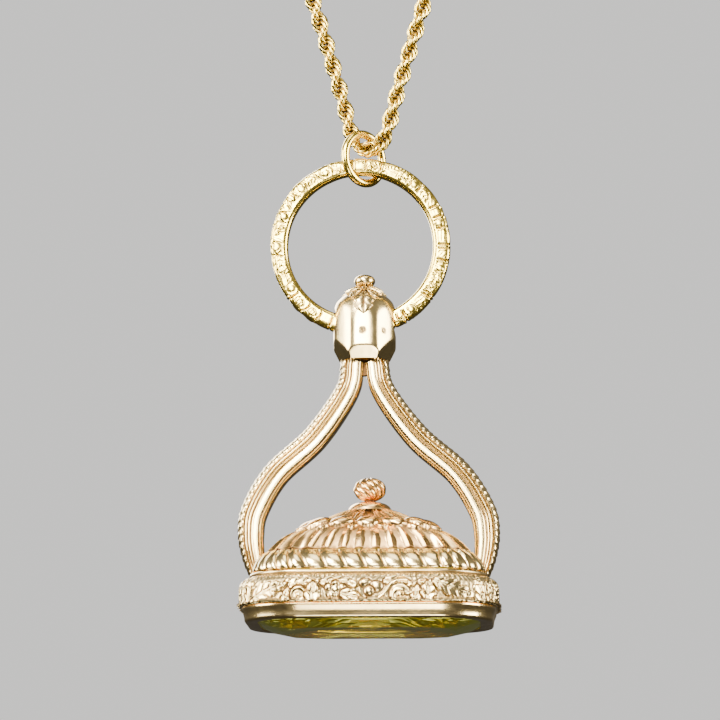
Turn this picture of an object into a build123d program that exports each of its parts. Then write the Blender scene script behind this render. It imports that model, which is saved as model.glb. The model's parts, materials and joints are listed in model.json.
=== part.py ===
from build123d import *

import os
from math import cos, pi, radians, sin, sqrt, tan

os.makedirs("parts", exist_ok=True)

# Millimetres. +Z is up, +X is to the right and -Y is the front of the necklace.
# The origin is the nape of the neck, on the underside of the clasp.
# Everything hangs below it, as the necklace is worn.

# Clearances
seam = 0.03                  # between pieces that seat on each other
chain_seat = 0.24            # under the jump ring, over the chain
ring_seat = 0.36             # under the split ring, over the jump ring
bore_play = 0.22             # round the split ring, inside the knuckle

# Rope chain, and the plain barrel clasp that closes it at the nape
chain_diameter = 1.9
clasp_length = 12.0
clasp_diameter = 3.2
clasp_edge = 0.5

# Jump ring: its plane is turned about the vertical, left side forward
jump_radius = 2.7
jump_wire = 0.9
jump_turn = 45
jump_shift = -0.65           # sideways from the middle of the chain

# Split ring, plain inside and chased on its front, back and outside
ring_diameter = 19.5
ring_radial = 1.93
ring_depth = 1.7
ring_bevel = 0.6
ring_shift = -1.0
ring_relief = 0.16
ring_plain_top = 24          # degrees left plain each side of the jump ring
ring_plain_foot = 38         # and each side of the ring's foot, round the knuckle
ring_motif_pitch = 15        # degrees from one chased band to the next
ring_band = 0.5
ring_scroll_radius = 0.43
ring_scroll_hollow = 0.18
ring_collar_angle = 29       # from the ring's foot, on the right
ring_collar = 0.6

# Knuckle: an eight-sided barrel with a leaf cap and a button
knuckle_width = 6.6
knuckle_height = 8.0
knuckle_shift = -0.55
knuckle_drop = 0.25          # its middle hangs this far below its bore
cap_leaves = 8
cap_leaf_length = 2.0
cap_leaf_width = 1.35
cap_leaf_tilt = 28
hanging_leaf_width = 2.4
hanging_leaf_drop = 2.4      # its middle, under the knuckle's top
leaf_relief = 0.22
button_width = 2.2
button_height = 1.5

# Yoke: two reeded arms that meet under the knuckle
arm_height = 23.54
arm_spread = 25.1            # between the middles of the arms, at their widest
arm_width = 2.8
arm_depth = 2.8
arm_leaves = 15
arm_leaf_radius = 0.6
fork_height = 1.9

# Base outline, a rectangle with round corners, and its tiers from the top down
base_length = 27.5
base_depth = 19.5
base_corner = 6.6
gadroon_step = 1.5           # from the shoulder's edge in to the gadroons
gadroon_inset = 1.42         # from their foot to their head
gadroon_height = 2.24
gadroon_count = 40
gadroon_bulge = 0.34
gadroon_slant = 0.55         # of a gadroon's pitch
fillet_height = 0.45
fillet_proud = 0.3
foliate_height = 3.28
foliate_top_round = 1.2
foliate_foot_round = 0.5
foliate_leaves = 14
foliate_relief = 0.28
leaf_length = 4.7
leaf_height = 2.3
leaf_slant = 18
bud_radius = 0.55
gadroon_sections = [(0.0, 0.0), (0.5, 0.35), (1.0, 1.0)]   # shares of height and of inset
case_wall = 1.6

# Dome with flutes, a ring of petals, a ring of beads and a round cap
dome_height = 5.6
dome_wall = 0.9
flute_count = 36
flute_depth = 0.3
petal_count = 14
petal_radius = 0.7
bead_count = 12
bead_radius = 0.42
cap_radius = 2.2
cap_height = 1.1

# Spiral ball on the dome
ball_width = 3.4
ball_height = 2.5
ball_flutes = 12
ball_twist = 110
ball_bulge = 0.16
neck_radius = 0.62
neck_height = 0.15

# Bezel and citrine
bezel_height = 1.53
bezel_inset = 0.35
bezel_hollow = 0.12
bezel_lip = 1.75             # from the outside of the bezel to its mouth
stone_tuck = 0.3             # of the stone, under the lip
stone_proud = 0.77           # of its table, below the bezel
girdle_height = 0.5
table_share = 0.8
pavilion_height = 4.4
stone_facets = 20

# Chain route, x and y with the height over the clasp's own line:
# from the clasp down the right side to the fold in the jump ring
nape_z = clasp_diameter / 2
chain_side = [
    (clasp_length / 2, 0.0, 0.0),
    (13.0, 0.0, 0.0),
    (27.1, 0.0, -4.9),
    (39.2, 0.0, -13.7),
    (48.2, 0.0, -25.7),
    (53.3, 0.0, -39.8),
    (54.6, 0.0, -57.7),
    (51.2, 0.0, -85.5),
    (40.6, 0.0, -131.3),
    (26.0, 0.0, -182.3),
    (12.6, -0.3, -226.3),
    (6.0, -0.7, -247.3),
    (2.9, -0.95, -257.9),
    (1.8, -1.12, -262.8),
]
chain_fold = (0.0, 0.0, -263.8)
chain_route = (
    [(x, y, z + nape_z) for x, y, z in chain_side]
    + [(chain_fold[0], chain_fold[1], chain_fold[2] + nape_z)]
    + [(-x, -y, z + nape_z) for x, y, z in reversed(chain_side)]
)


def half_turn(before, point, after):
    """Half the angle, in radians, by which a route turns at a point."""
    ahead = Vector(after) - Vector(point)
    return radians((Vector(point) - Vector(before)).get_angle(ahead)) / 2


def bend_radius(before, point, after):
    """Radius that takes up 0.45 of the shorter run at a point."""
    runs = (Vector(point) - Vector(before)).length, (Vector(after) - Vector(point)).length
    return 0.45 * min(runs) / tan(half_turn(before, point, after))


chain_bends = list(zip(chain_route, chain_route[1:], chain_route[2:]))
chain_radii = [bend_radius(*bend) for bend in chain_bends]
fold = chain_bends[len(chain_side) - 1]
fold_rise = bend_radius(*fold) * (1 / cos(half_turn(*fold)) - 1)

# Heights down the pendant, each from the one above
chain_low_z = chain_fold[2] + nape_z + fold_rise
jump_z = chain_low_z + chain_diameter / 2 + chain_seat + jump_wire / 2 - jump_radius
ring_radius = (ring_diameter - ring_radial) / 2
ring_top_z = jump_z - jump_radius + jump_wire / 2 + ring_seat + ring_radial / 2
ring_z = ring_top_z - ring_radius
ring_foot_z = ring_z - ring_radius
ring_reach = knuckle_width / 2 + abs(knuckle_shift - ring_shift)
ring_sag = ring_radius - sqrt(ring_radius**2 - ring_reach**2)
ring_corner = sqrt((ring_radial / 2) ** 2 + (ring_depth / 2 - ring_bevel) ** 2)
bore_z = ring_foot_z + ring_sag / 2
bore_radius = ring_sag / 2 + ring_corner + bore_play
knuckle_z = bore_z - knuckle_drop
knuckle_top_z = knuckle_z + knuckle_height / 2
arm_top_z = knuckle_z - knuckle_height / 2 - seam
shoulder_z = arm_top_z - arm_height - seam
gadroon_foot_z = shoulder_z + fillet_height
dome_foot_z = gadroon_foot_z + gadroon_height + seam
dome_top_z = dome_foot_z + dome_height
foliate_foot_z = shoulder_z - foliate_height
foliate_mid_z = foliate_foot_z + (foliate_height - foliate_top_round + foliate_foot_round) / 2
bezel_top_z = foliate_foot_z - seam
bezel_foot_z = bezel_top_z - bezel_height
girdle_z = bezel_foot_z + stone_tuck

# Outlines of the base from the widest in: length, depth and corner radius
base_outline = (base_length, base_depth, base_corner)


def inset(outline, distance):
    """A rounded rectangle that lies a distance inside another."""
    length, depth, corner = outline
    return length - 2 * distance, depth - 2 * distance, corner - distance


gadroon_outline = inset(base_outline, gadroon_step)
dome_outline = inset(gadroon_outline, gadroon_inset)
bezel_outline = inset(base_outline, bezel_inset)
mouth_outline = inset(bezel_outline, bezel_lip)
stone_outline = inset(mouth_outline, -stone_tuck)


def along(outline, share):
    """Point and outward direction at a share of the way round, from the middle of the back."""
    length, depth, corner = outline
    sides = (length - 2 * corner, depth - 2 * corner) * 2
    bend = corner * pi / 2
    whole = sum(sides) + 4 * bend
    way = (share * whole + sides[0] / 2) % whole
    centre = Vector(-sides[0] / 2, sides[1] / 2)
    for quarter, side in enumerate(sides):
        ahead = Vector(1, 0).rotate(Axis.Z, -90 * quarter)
        turned = max(0, min(way - side, bend)) / corner
        out = Vector(0, 1).rotate(Axis.Z, -90 * quarter - turned * 180 / pi)
        if way <= side + bend:
            return centre + ahead * min(way, side) + out * corner, out
        way -= side + bend
        centre += ahead * side
    return centre + out * corner, out


def scallops(outline, count, bulge, shift=0.0):
    """Closed line of arcs round an outline, swelling out or, if negative, in."""
    for index in range(count):
        start, _ = along(outline, (index + shift) / count)
        middle, out = along(outline, (index + 0.5 + shift) / count)
        end, _ = along(outline, (index + 1 + shift) / count)
        ThreePointArc(start, middle + out * bulge, end)


# Rope chain, as the tube that its strands fill
print("bend radii of the chain:", ", ".join(f"{radius:.1f}" for radius in chain_radii))
with BuildPart() as rope_chain:
    with BuildLine() as chain_line:
        FilletPolyline(*chain_route, radius=chain_radii)
    with BuildSketch(Plane(origin=chain_route[0], z_dir=(1, 0, 0))):
        Circle(chain_diameter / 2)
    sweep(path=chain_line.wire())
chain_length = chain_line.wire().length
chain_section = pi * (chain_diameter / 2) ** 2
print(f"chain length {chain_length:.1f} mm, volume {rope_chain.part.volume:.1f} mm3")
print(f"section times length {chain_section * chain_length:.1f} mm3")
rope_chain.part.label = "rope_chain"
export_step(rope_chain.part, "parts/rope_chain.step")

# Clasp
with BuildPart() as clasp:
    with Locations(Location((0, 0, nape_z), (0, 90, 0))):
        Cylinder(clasp_diameter / 2, clasp_length - 2 * seam)
    chamfer(clasp.edges().filter_by(GeomType.CIRCLE), clasp_edge)
clasp.part.label = "clasp"
export_step(clasp.part, "parts/clasp.step")

# Jump ring
up = Vector(0, 0, 1)
back = Vector(0, 1, 0)
jump_across = Vector(cos(radians(jump_turn)), sin(radians(jump_turn)), 0)
with BuildPart() as jump_ring:
    with Locations(Plane((jump_shift, 0, jump_z), x_dir=jump_across, z_dir=jump_across.cross(up))):
        Torus(jump_radius, jump_wire / 2)
jump_ring.part.label = "jump_ring"
export_step(jump_ring.part, "parts/jump_ring.step")

# Split ring: bands, scrolls and shells stand out of a bevelled square wire
ring_centre = Vector(ring_shift, 0, ring_z)
motif_span = 180 - ring_plain_foot - ring_plain_top
motif_steps = round(motif_span / ring_motif_pitch)
motif_pitch = motif_span / motif_steps
band_angles = [side * (ring_plain_top + motif_pitch * step)
               for side in (-1, 1) for step in range(motif_steps + 1)]
collar_angles = [180 - ring_collar_angle]
scroll_angles = [side * (ring_plain_top + motif_pitch * (step + 0.5))
                 for side in (-1, 1) for step in range(motif_steps)]


def ring_spot(angle, reach):
    """Place round the split ring and the direction to it, clockwise from the top."""
    out = Vector(sin(radians(angle)), 0, cos(radians(angle)))
    return ring_centre + out * reach, out


with BuildPart() as split_ring:
    with BuildSketch(Plane.XY.offset(ring_z)) as ring_section:
        with Locations((ring_shift + ring_radius, 0)):
            Rectangle(ring_radial, ring_depth)
        chamfer(ring_section.vertices(), ring_bevel)
    revolve(axis=Axis(ring_centre, (0, 1, 0)))
    for angles, width in ((band_angles, ring_band), (collar_angles, ring_collar)):
        spots = [ring_spot(angle, ring_radius + ring_bevel / 2) for angle in angles]
        with BuildSketch(*[Plane(spot, x_dir=out, z_dir=out.cross(back)) for spot, out in spots]) as band:
            Rectangle(ring_radial - ring_bevel + 2 * ring_relief, ring_depth + 2 * ring_relief)
            chamfer(band.vertices(), ring_bevel)
        extrude(amount=width / 2, both=True)
    scroll_planes = []
    for index, angle in enumerate(scroll_angles):
        outer = index % 2
        for face in (back, -back):
            spot, out = ring_spot(angle, ring_radius + outer * (ring_radial - ring_bevel) / 2)
            spot += face * (ring_depth - outer * ring_bevel) / 2
            outward = (face + out * outer).normalized()
            scroll_root = spot - outward * 2 * ring_relief
            scroll_planes.append(Plane(scroll_root, x_dir=out.cross(back), z_dir=outward))
    with BuildSketch(*scroll_planes):
        Circle(ring_scroll_radius)
        Circle(ring_scroll_hollow, mode=Mode.SUBTRACT)
    extrude(amount=3 * ring_relief)
split_ring.part.label = "split_ring"
export_step(split_ring.part, "parts/split_ring.step")

# Knuckle: shares of its height from the middle, and of its width
knuckle_sections = [(-0.5, 0.78), (-0.3, 1.0), (0.11, 1.0), (0.3, 0.87), (0.4, 0.68), (0.5, 0.36)]
knuckle_face = knuckle_width / 2
with BuildPart() as knuckle:
    with Locations((knuckle_shift, 0, knuckle_top_z + 1.5 * leaf_relief)):
        Cylinder(button_width / 2, button_height, align=(Align.CENTER, Align.CENTER, Align.MIN))
    fillet(knuckle.edges().filter_by(GeomType.CIRCLE), 0.45 * button_height)
    with Locations((knuckle_shift, 0, knuckle_top_z)):
        Cylinder(neck_radius, button_height)
    for height, width in knuckle_sections:
        with BuildSketch(Plane((knuckle_shift, 0, knuckle_z + height * knuckle_height))):
            RegularPolygon(width * knuckle_face, 8, major_radius=False, rotation=22.5)
    loft(ruled=True)
    for index in range(cap_leaves):
        out = Vector(1, 0, 0).rotate(Axis.Z, index * 360 / cap_leaves)
        ahead = out * cos(radians(cap_leaf_tilt)) - up * sin(radians(cap_leaf_tilt))
        root = Vector(knuckle_shift, 0, knuckle_top_z + leaf_relief) + out * neck_radius / 2
        with BuildSketch(Plane(root, x_dir=ahead, z_dir=ahead.cross(up.cross(out)))):
            with BuildLine():
                ThreePointArc((0, 0), (cap_leaf_length / 2, cap_leaf_width / 2), (cap_leaf_length, 0))
                ThreePointArc((0, 0), (cap_leaf_length / 2, -cap_leaf_width / 2), (cap_leaf_length, 0))
            make_face()
        extrude(amount=leaf_relief, both=True)
    for face in (-1, 1):
        spot = (knuckle_shift, face * knuckle_face, knuckle_top_z - hanging_leaf_drop)
        with BuildSketch(Plane(spot, x_dir=(1, 0, 0), z_dir=(0, face, 0))):
            RegularPolygon(hanging_leaf_width / 2, 6)
        extrude(amount=leaf_relief, both=True)
    with Locations(Location((knuckle_shift, 0, bore_z), (0, 90, 0))):
        Cylinder(bore_radius, 2 * knuckle_width, mode=Mode.SUBTRACT)
knuckle.part.label = "knuckle"
export_step(knuckle.part, "parts/knuckle.step")

# Yoke: shares of half the spread and of the height down each arm, and of its width
arm_sections = [
    (0.102, 0.0, 0.9),
    (0.155, 0.136, 0.92),
    (0.43, 0.346, 1.0),
    (0.773, 0.514, 1.02),
    (0.961, 0.679, 1.04),
    (1.0, 0.79, 1.0),
    (0.98, 0.9, 0.85),
    (0.93, 1.0, 0.6),
]
# Reeded face of an arm: shares of its width, inside to outside, and of half its depth
arm_reeds = [
    (-0.5, 0.55), (-0.44, 0.88), (-0.38, 0.8), (-0.3, 0.98), (-0.17, 1.0), (-0.05, 0.94),
    (0.0, 0.8), (0.06, 0.93), (0.12, 0.8), (0.19, 0.89), (0.26, 0.76), (0.34, 0.8), (0.5, 0.45),
]
arm_leaf_first = 0.1
arm_leaf_last = 0.93
with BuildPart() as yoke:
    for side in (-1, 1):
        spots = [
            (side * spread * arm_spread / 2 + knuckle_shift * (1 - drop), 0, arm_top_z - drop * arm_height)
            for spread, drop, _ in arm_sections
        ]
        with BuildLine() as arm_line:
            Spline(*spots, tangents=[(0, 0, -1), (-0.25 * side, 0, -1)])
        for (_, _, width), spot in zip(arm_sections, spots):
            share = arm_line.edge().param_at_point(spot)
            with BuildSketch(Plane(spot, x_dir=(0, 1, 0), z_dir=arm_line.edge() % share)):
                front = [(-deep * arm_depth / 2, side * over * width * arm_width) for over, deep in arm_reeds]
                rear = [(-deep, over) for deep, over in reversed(front)]
                with BuildLine():
                    Polyline(*front, *rear, close=True)
                make_face()
        loft()
        leaf_places = []
        for index in range(arm_leaves):
            share = arm_leaf_first + (arm_leaf_last - arm_leaf_first) * index / (arm_leaves - 1)
            out = (arm_line.edge() % share).cross(back * side)
            spot = arm_line.edge() @ share + out * (0.52 * arm_width - arm_leaf_radius)
            leaf_places.append(Location(spot, (90, 0, 0)))
        with Locations(*leaf_places):
            Cylinder(arm_leaf_radius, 0.7 * arm_depth)
    with Locations((knuckle_shift, 0, arm_top_z)):
        Box(arm_width, 0.7 * arm_depth, fork_height, align=(Align.CENTER, Align.CENTER, Align.MAX))
yoke.part.label = "yoke"
export_step(yoke.part, "parts/yoke.step")

# Dome: shares of the size of its foot and of its height
dome_sections = [(1.0, 0.0), (0.87, 0.26), (0.7, 0.44), (0.5, 0.6), (0.31, 0.75), (0.16, 0.85)]
petal_share = (0.62, 0.5)
bead_share = (0.33, 0.73)


def dome_ring(share):
    """Outline of the dome at a share of its size: it grows rounder towards the top."""
    length, depth, corner = dome_outline
    narrow = share * (depth + 0.9 * (length - depth) * (1 - share))
    rounded = corner + (depth / 2 - corner) * min(1, 2 * (1 - share))
    return share * length, narrow, min(0.49 * narrow, share * rounded)


with BuildPart() as dome:
    for share, rise in dome_sections:
        with BuildSketch(Plane.XY.offset(dome_foot_z + rise * dome_height)):
            with BuildLine():
                scallops(dome_ring(share), flute_count, -flute_depth * sqrt(share))
            make_face()
    loft()
    for count, radius, (share, rise) in (
        (petal_count, petal_radius, petal_share),
        (bead_count, bead_radius, bead_share),
    ):
        spots = [along(dome_ring(share), index / count)[0] for index in range(count)]
        with Locations(*[spot + up * (dome_foot_z + rise * dome_height) for spot in spots]):
            Sphere(radius)
    with Locations((0, 0, dome_top_z)):
        Cylinder(cap_radius, cap_height, align=(Align.CENTER, Align.CENTER, Align.MAX))
    fillet(dome.faces().sort_by(Axis.Z)[-1].edges(), 0.6 * cap_height)
    for share, rise in dome_sections[:4]:
        with BuildSketch(Plane.XY.offset(dome_foot_z + rise * (dome_height - dome_wall))):
            RectangleRounded(*inset(dome_ring(share), dome_wall))
    loft(mode=Mode.SUBTRACT)
dome.part.label = "dome"
export_step(dome.part, "parts/dome.step")

# Finial: its flutes turn as they climb
ball_levels = 7
ball_z = dome_top_z + seam + neck_height + ball_height / 2
with BuildPart() as finial:
    for level in range(ball_levels):
        tilt = radians(-75 + 150 * level / (ball_levels - 1))
        radius = ball_width / 2 * cos(tilt)
        turn = ball_twist / 360 * ball_flutes * level / (ball_levels - 1)
        with BuildSketch(Plane.XY.offset(ball_z + ball_height / 2 * sin(tilt))):
            with BuildLine():
                scallops((2 * radius, 2 * radius, radius), ball_flutes, ball_bulge * cos(tilt), turn)
            make_face()
    loft()
    with Locations((0, 0, dome_top_z + seam)):
        Cylinder(neck_radius, neck_height + ball_height / 2, align=(Align.CENTER, Align.CENTER, Align.MIN))
finial.part.label = "finial"
export_step(finial.part, "parts/finial.step")

# Gallery: foliate band, fillet and slanted gadroons round a case that is open below
# Half a leaf: shares of its length and of half its height, tips and notches in turn
leaf_edge = [
    (0.0, 0.06), (0.1, 0.5), (0.2, 0.28), (0.32, 0.9), (0.42, 0.5),
    (0.56, 1.0), (0.64, 0.5), (0.82, 0.75), (0.84, 0.32), (1.0, 0.0),
]
with BuildPart() as gallery:
    with BuildSketch(Plane.XY.offset(foliate_foot_z)):
        RectangleRounded(*base_outline)
    extrude(amount=foliate_height)
    fillet(gallery.faces().sort_by(Axis.Z)[-1].edges(), foliate_top_round)
    fillet(gallery.faces().sort_by(Axis.Z)[0].edges(), foliate_foot_round)
    with BuildSketch(Plane.XY.offset(shoulder_z)):
        RectangleRounded(*inset(gadroon_outline, -fillet_proud))
    extrude(amount=fillet_height)
    for rise, step in gadroon_sections:
        with BuildSketch(Plane.XY.offset(gadroon_foot_z + rise * gadroon_height)):
            with BuildLine():
                scallops(inset(gadroon_outline, step * gadroon_inset + gadroon_bulge),
                         gadroon_count, gadroon_bulge, gadroon_slant * rise)
            make_face()
    loft()
    leaf_planes, bud_planes = [], []
    for index in range(foliate_leaves):
        spot, out = along(base_outline, (index + 0.5) / foliate_leaves)
        slant = radians(leaf_slant if index % 2 else 180 - leaf_slant)
        ahead = up.cross(out) * cos(slant) + up * sin(slant)
        leaf_root = spot - out * foliate_top_round + up * foliate_mid_z
        leaf_planes.append(Plane(leaf_root, x_dir=ahead, z_dir=out))
        spot, out = along(base_outline, index / foliate_leaves)
        bud_planes.append(Plane(spot + up * foliate_mid_z, z_dir=out))
    with BuildSketch(*leaf_planes):
        with BuildLine():
            upper = [((over - 0.5) * leaf_length, high * leaf_height / 2) for over, high in leaf_edge]
            Polyline(*upper, *[(over, -high) for over, high in reversed(upper[:-1])], close=True)
        make_face()
    extrude(amount=foliate_top_round + foliate_relief)
    with BuildSketch(*bud_planes):
        Circle(bud_radius)
    extrude(amount=foliate_relief, both=True)
    for side in (-1, 1):
        with Locations((side * arm_spread / 2 * arm_sections[-1][0], 0, shoulder_z)):
            Box(arm_width, arm_depth + 2 * seam, 2 * (fillet_height + gadroon_height),
                mode=Mode.SUBTRACT)
    for z, room in ((foliate_foot_z, -2 * seam), (dome_foot_z - seam, case_wall)):
        with BuildSketch(Plane.XY.offset(z)):
            RectangleRounded(*inset(stone_outline, room))
    loft(mode=Mode.SUBTRACT)
gallery.part.label = "gallery"
export_step(gallery.part, "parts/gallery.step")

# Bezel: slightly hollow outside, burnished over the stone's edge inside
with BuildPart() as bezel:
    for z, tuck in ((bezel_top_z, -0.5), (bezel_top_z - bezel_height / 2, 1.0), (bezel_foot_z, 0.0)):
        with BuildSketch(Plane.XY.offset(z)):
            RectangleRounded(*inset(bezel_outline, tuck * bezel_hollow))
    loft()
    with BuildSketch(Plane.XY.offset(girdle_z)):
        RectangleRounded(*inset(stone_outline, -seam))
    extrude(amount=bezel_height, mode=Mode.SUBTRACT)
    for z, outline in ((girdle_z, stone_outline), (bezel_foot_z, mouth_outline)):
        with BuildSketch(Plane.XY.offset(z)):
            RectangleRounded(*inset(outline, -seam))
    loft(mode=Mode.SUBTRACT)
bezel.part.label = "bezel"
export_step(bezel.part, "parts/bezel.step")

# Citrine: heights over the girdle, and shares of the girdle's size, table first
table_z = bezel_foot_z - stone_proud
stone_sections = [
    (table_z, table_share),
    (bezel_foot_z, 0.955),
    (girdle_z, 1.0),
    (girdle_z + girdle_height, 1.0),
    (girdle_z + girdle_height + 0.5 * pavilion_height, 0.62),
    (girdle_z + girdle_height + pavilion_height, 0.12),
]
girdle_points = [along(stone_outline, (index + 0.5) / stone_facets)[0] for index in range(stone_facets)]
with BuildPart() as citrine:
    for z, share in stone_sections:
        with BuildSketch(Plane.XY.offset(z)):
            with BuildLine():
                Polyline(*[point * share for point in girdle_points], close=True)
            make_face()
    loft(ruled=True)
citrine.part.label = "citrine"
export_step(citrine.part, "parts/citrine.step")
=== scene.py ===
import json
from math import cos, pi, radians, sin

import bmesh
import bpy
import numpy as np
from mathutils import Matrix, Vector


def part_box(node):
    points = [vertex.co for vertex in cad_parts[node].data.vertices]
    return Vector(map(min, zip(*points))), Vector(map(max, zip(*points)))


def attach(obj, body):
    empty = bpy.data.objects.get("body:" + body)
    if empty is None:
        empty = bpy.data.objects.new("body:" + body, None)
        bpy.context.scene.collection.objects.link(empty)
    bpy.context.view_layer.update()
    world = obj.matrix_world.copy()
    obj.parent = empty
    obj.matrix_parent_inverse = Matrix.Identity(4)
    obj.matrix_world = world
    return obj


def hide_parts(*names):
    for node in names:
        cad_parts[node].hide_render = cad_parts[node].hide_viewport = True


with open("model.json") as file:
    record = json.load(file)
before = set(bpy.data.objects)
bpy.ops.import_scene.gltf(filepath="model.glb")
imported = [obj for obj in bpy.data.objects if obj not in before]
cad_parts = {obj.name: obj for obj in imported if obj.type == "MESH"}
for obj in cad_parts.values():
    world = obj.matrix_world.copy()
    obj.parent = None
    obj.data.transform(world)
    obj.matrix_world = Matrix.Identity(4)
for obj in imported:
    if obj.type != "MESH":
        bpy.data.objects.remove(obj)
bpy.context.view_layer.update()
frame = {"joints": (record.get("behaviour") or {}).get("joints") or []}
mm = 0.001  # every size below is in millimetres, and a mesh is made in metres
print("frame loaded")


def boxOf(node):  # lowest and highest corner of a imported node, in millimetres
    low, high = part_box(node)
    return np.array(low) / mm, np.array(high) / mm


def addNode(tree, kind, values=None, **settings):
    # a node with its settings and the values of its open inputs
    node = tree.nodes.new(kind)
    for key, value in settings.items():
        setattr(node, key, value)
    for key, value in (values or {}).items():
        node.inputs[key].default_value = value
    return node


def joinNodes(tree, *rows):  # each row is a node, its output, the next node and its input
    for source, output, target, entry in rows:
        tree.links.new(source.outputs[output], target.inputs[entry])


def newFinish(name, values):
    finish = bpy.data.materials.new(name)
    finish.use_nodes = True
    shader = finish.node_tree.nodes["Principled BSDF"]
    for key, value in values.items():
        shader.inputs[key].default_value = value
    return finish, finish.node_tree, shader


def addObject(name, data):
    thing = bpy.data.objects.new(name, data)
    bpy.context.scene.collection.objects.link(thing)
    return thing


def plainMesh(thing):  # the mesh of an object with its modifiers applied
    graph = bpy.context.evaluated_depsgraph_get()
    return bpy.data.meshes.new_from_object(thing.evaluated_get(graph))


# Camera at the photograph's angle: a little from below and from the right
viewpoint = {
    "targetX": -1.06,
    "targetZ": -285.15,
    "distance": 400.0,
    "frameWidth": 77.3,
    "azimuth": 2.5,
    "elevation": -10.0,
}


def setCamera():
    lens = bpy.data.cameras.new("camera")
    lens.sensor_width = 36.0
    lens.lens = lens.sensor_width * viewpoint["distance"] / viewpoint["frameWidth"]
    lens.clip_start = 0.01
    eye = addObject("camera", lens)
    turn, rise = radians(viewpoint["azimuth"]), radians(viewpoint["elevation"])
    away = Vector((sin(turn) * cos(rise), -cos(turn) * cos(rise), sin(rise)))
    target = Vector((viewpoint["targetX"], 0, viewpoint["targetZ"])) * mm
    eye.location = target + away * viewpoint["distance"] * mm
    eye.rotation_euler = (-away).to_track_quat("-Z", "Y").to_euler()
    bpy.context.scene.camera = eye
    return target


fobMiddle = setCamera()

# Soft boxes round the fob: place, size and power
studio = {
    "floorDrop": 0.9,
    "floorSize": 12.0,
    "boxes": (
        ("leftBox", (-0.55, -0.17, 0.12), 0.36, 10.0),
        ("rightBox", (0.58, -0.15, 0.06), 0.34, 8.5),
        ("keyBox", (-0.22, -0.48, 0.42), 0.24, 13.0),
        ("frontBox", (-0.08, -0.62, 0.15), 0.22, 7.0),
        ("lowBox", (0.06, -0.55, -0.42), 0.20, 2.0),
        ("rearBox", (-0.25, 0.55, 0.25), 0.36, 5.0),
        ("topBox", (0.05, -0.2, 0.62), 0.3, 1.6),
    ),
    "paleWall": (0.92, 0.91, 0.89),
    "bounce": ((0.0, 0.04), (0.34, 0.045), (0.48, 0.06), (0.58, 0.12), (0.8, 0.2), (1.0, 0.12)),
}


def setStudio():
    for name, place, size, power in studio["boxes"]:
        lamp = bpy.data.lights.new(name, "AREA")
        lamp.shape = "SQUARE"
        lamp.size = size
        lamp.energy = power
        holder = addObject(name, lamp)
        holder.location = fobMiddle + Vector(place)
        holder.rotation_euler = (-Vector(place)).to_track_quat("-Z", "Y").to_euler()
        holder.visible_camera = False
    half = studio["floorSize"] / 2
    low = fobMiddle.z - studio["floorDrop"]
    mesh = bpy.data.meshes.new("floor")
    mesh.from_pydata([(-half, -half, low), (half, -half, low), (half, half, low), (-half, half, low)],
                     [], [(0, 1, 2, 3)])
    floor = addObject("floor", mesh)
    paint, _, _ = newFinish("floorPaint", {"Base Color": (*studio["paleWall"], 1), "Roughness": 0.8})
    mesh.materials.append(paint)
    floor.visible_glossy = False


def setRoom():  # pale to the camera, and light above dark to what reflects it
    world = bpy.data.worlds.new("room")
    bpy.context.scene.world = world
    world.use_nodes = True
    tree = world.node_tree
    tree.nodes.clear()
    place = addNode(tree, "ShaderNodeTexCoord")
    split = addNode(tree, "ShaderNodeSeparateXYZ")
    span = addNode(tree, "ShaderNodeMapRange", {"From Min": -1, "From Max": 1})
    ramp = addNode(tree, "ShaderNodeValToRGB")
    seen = addNode(tree, "ShaderNodeLightPath")
    pick = addNode(tree, "ShaderNodeMix", {7: (*studio["paleWall"], 1)}, data_type="RGBA")
    glow = addNode(tree, "ShaderNodeBackground")
    out = addNode(tree, "ShaderNodeOutputWorld")
    bands = studio["bounce"]
    while len(ramp.color_ramp.elements) < len(bands):
        ramp.color_ramp.elements.new(0.5)
    for element, (position, shade) in zip(ramp.color_ramp.elements, bands):
        element.position = position
        element.color = (shade, shade * 0.98, shade * 0.95, 1)
    joinNodes(tree, (place, "Generated", split, 0), (split, "Z", span, "Value"),
              (span, "Result", ramp, "Fac"), (seen, "Is Camera Ray", pick, 0), (ramp, "Color", pick, 6),
              (pick, 2, glow, "Color"), (glow, 0, out, "Surface"))


setStudio()
setRoom()
print("camera and studio set")


# Finishes: the scales and depths of wear that the golds share
wear = {"cloudScale": 420, "hairScale": 2600, "blot": 0.2, "hollowRough": 0.3, "scuff": 0.12, "grain": 0.15,
        "grainDepth": 0.00002}


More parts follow.
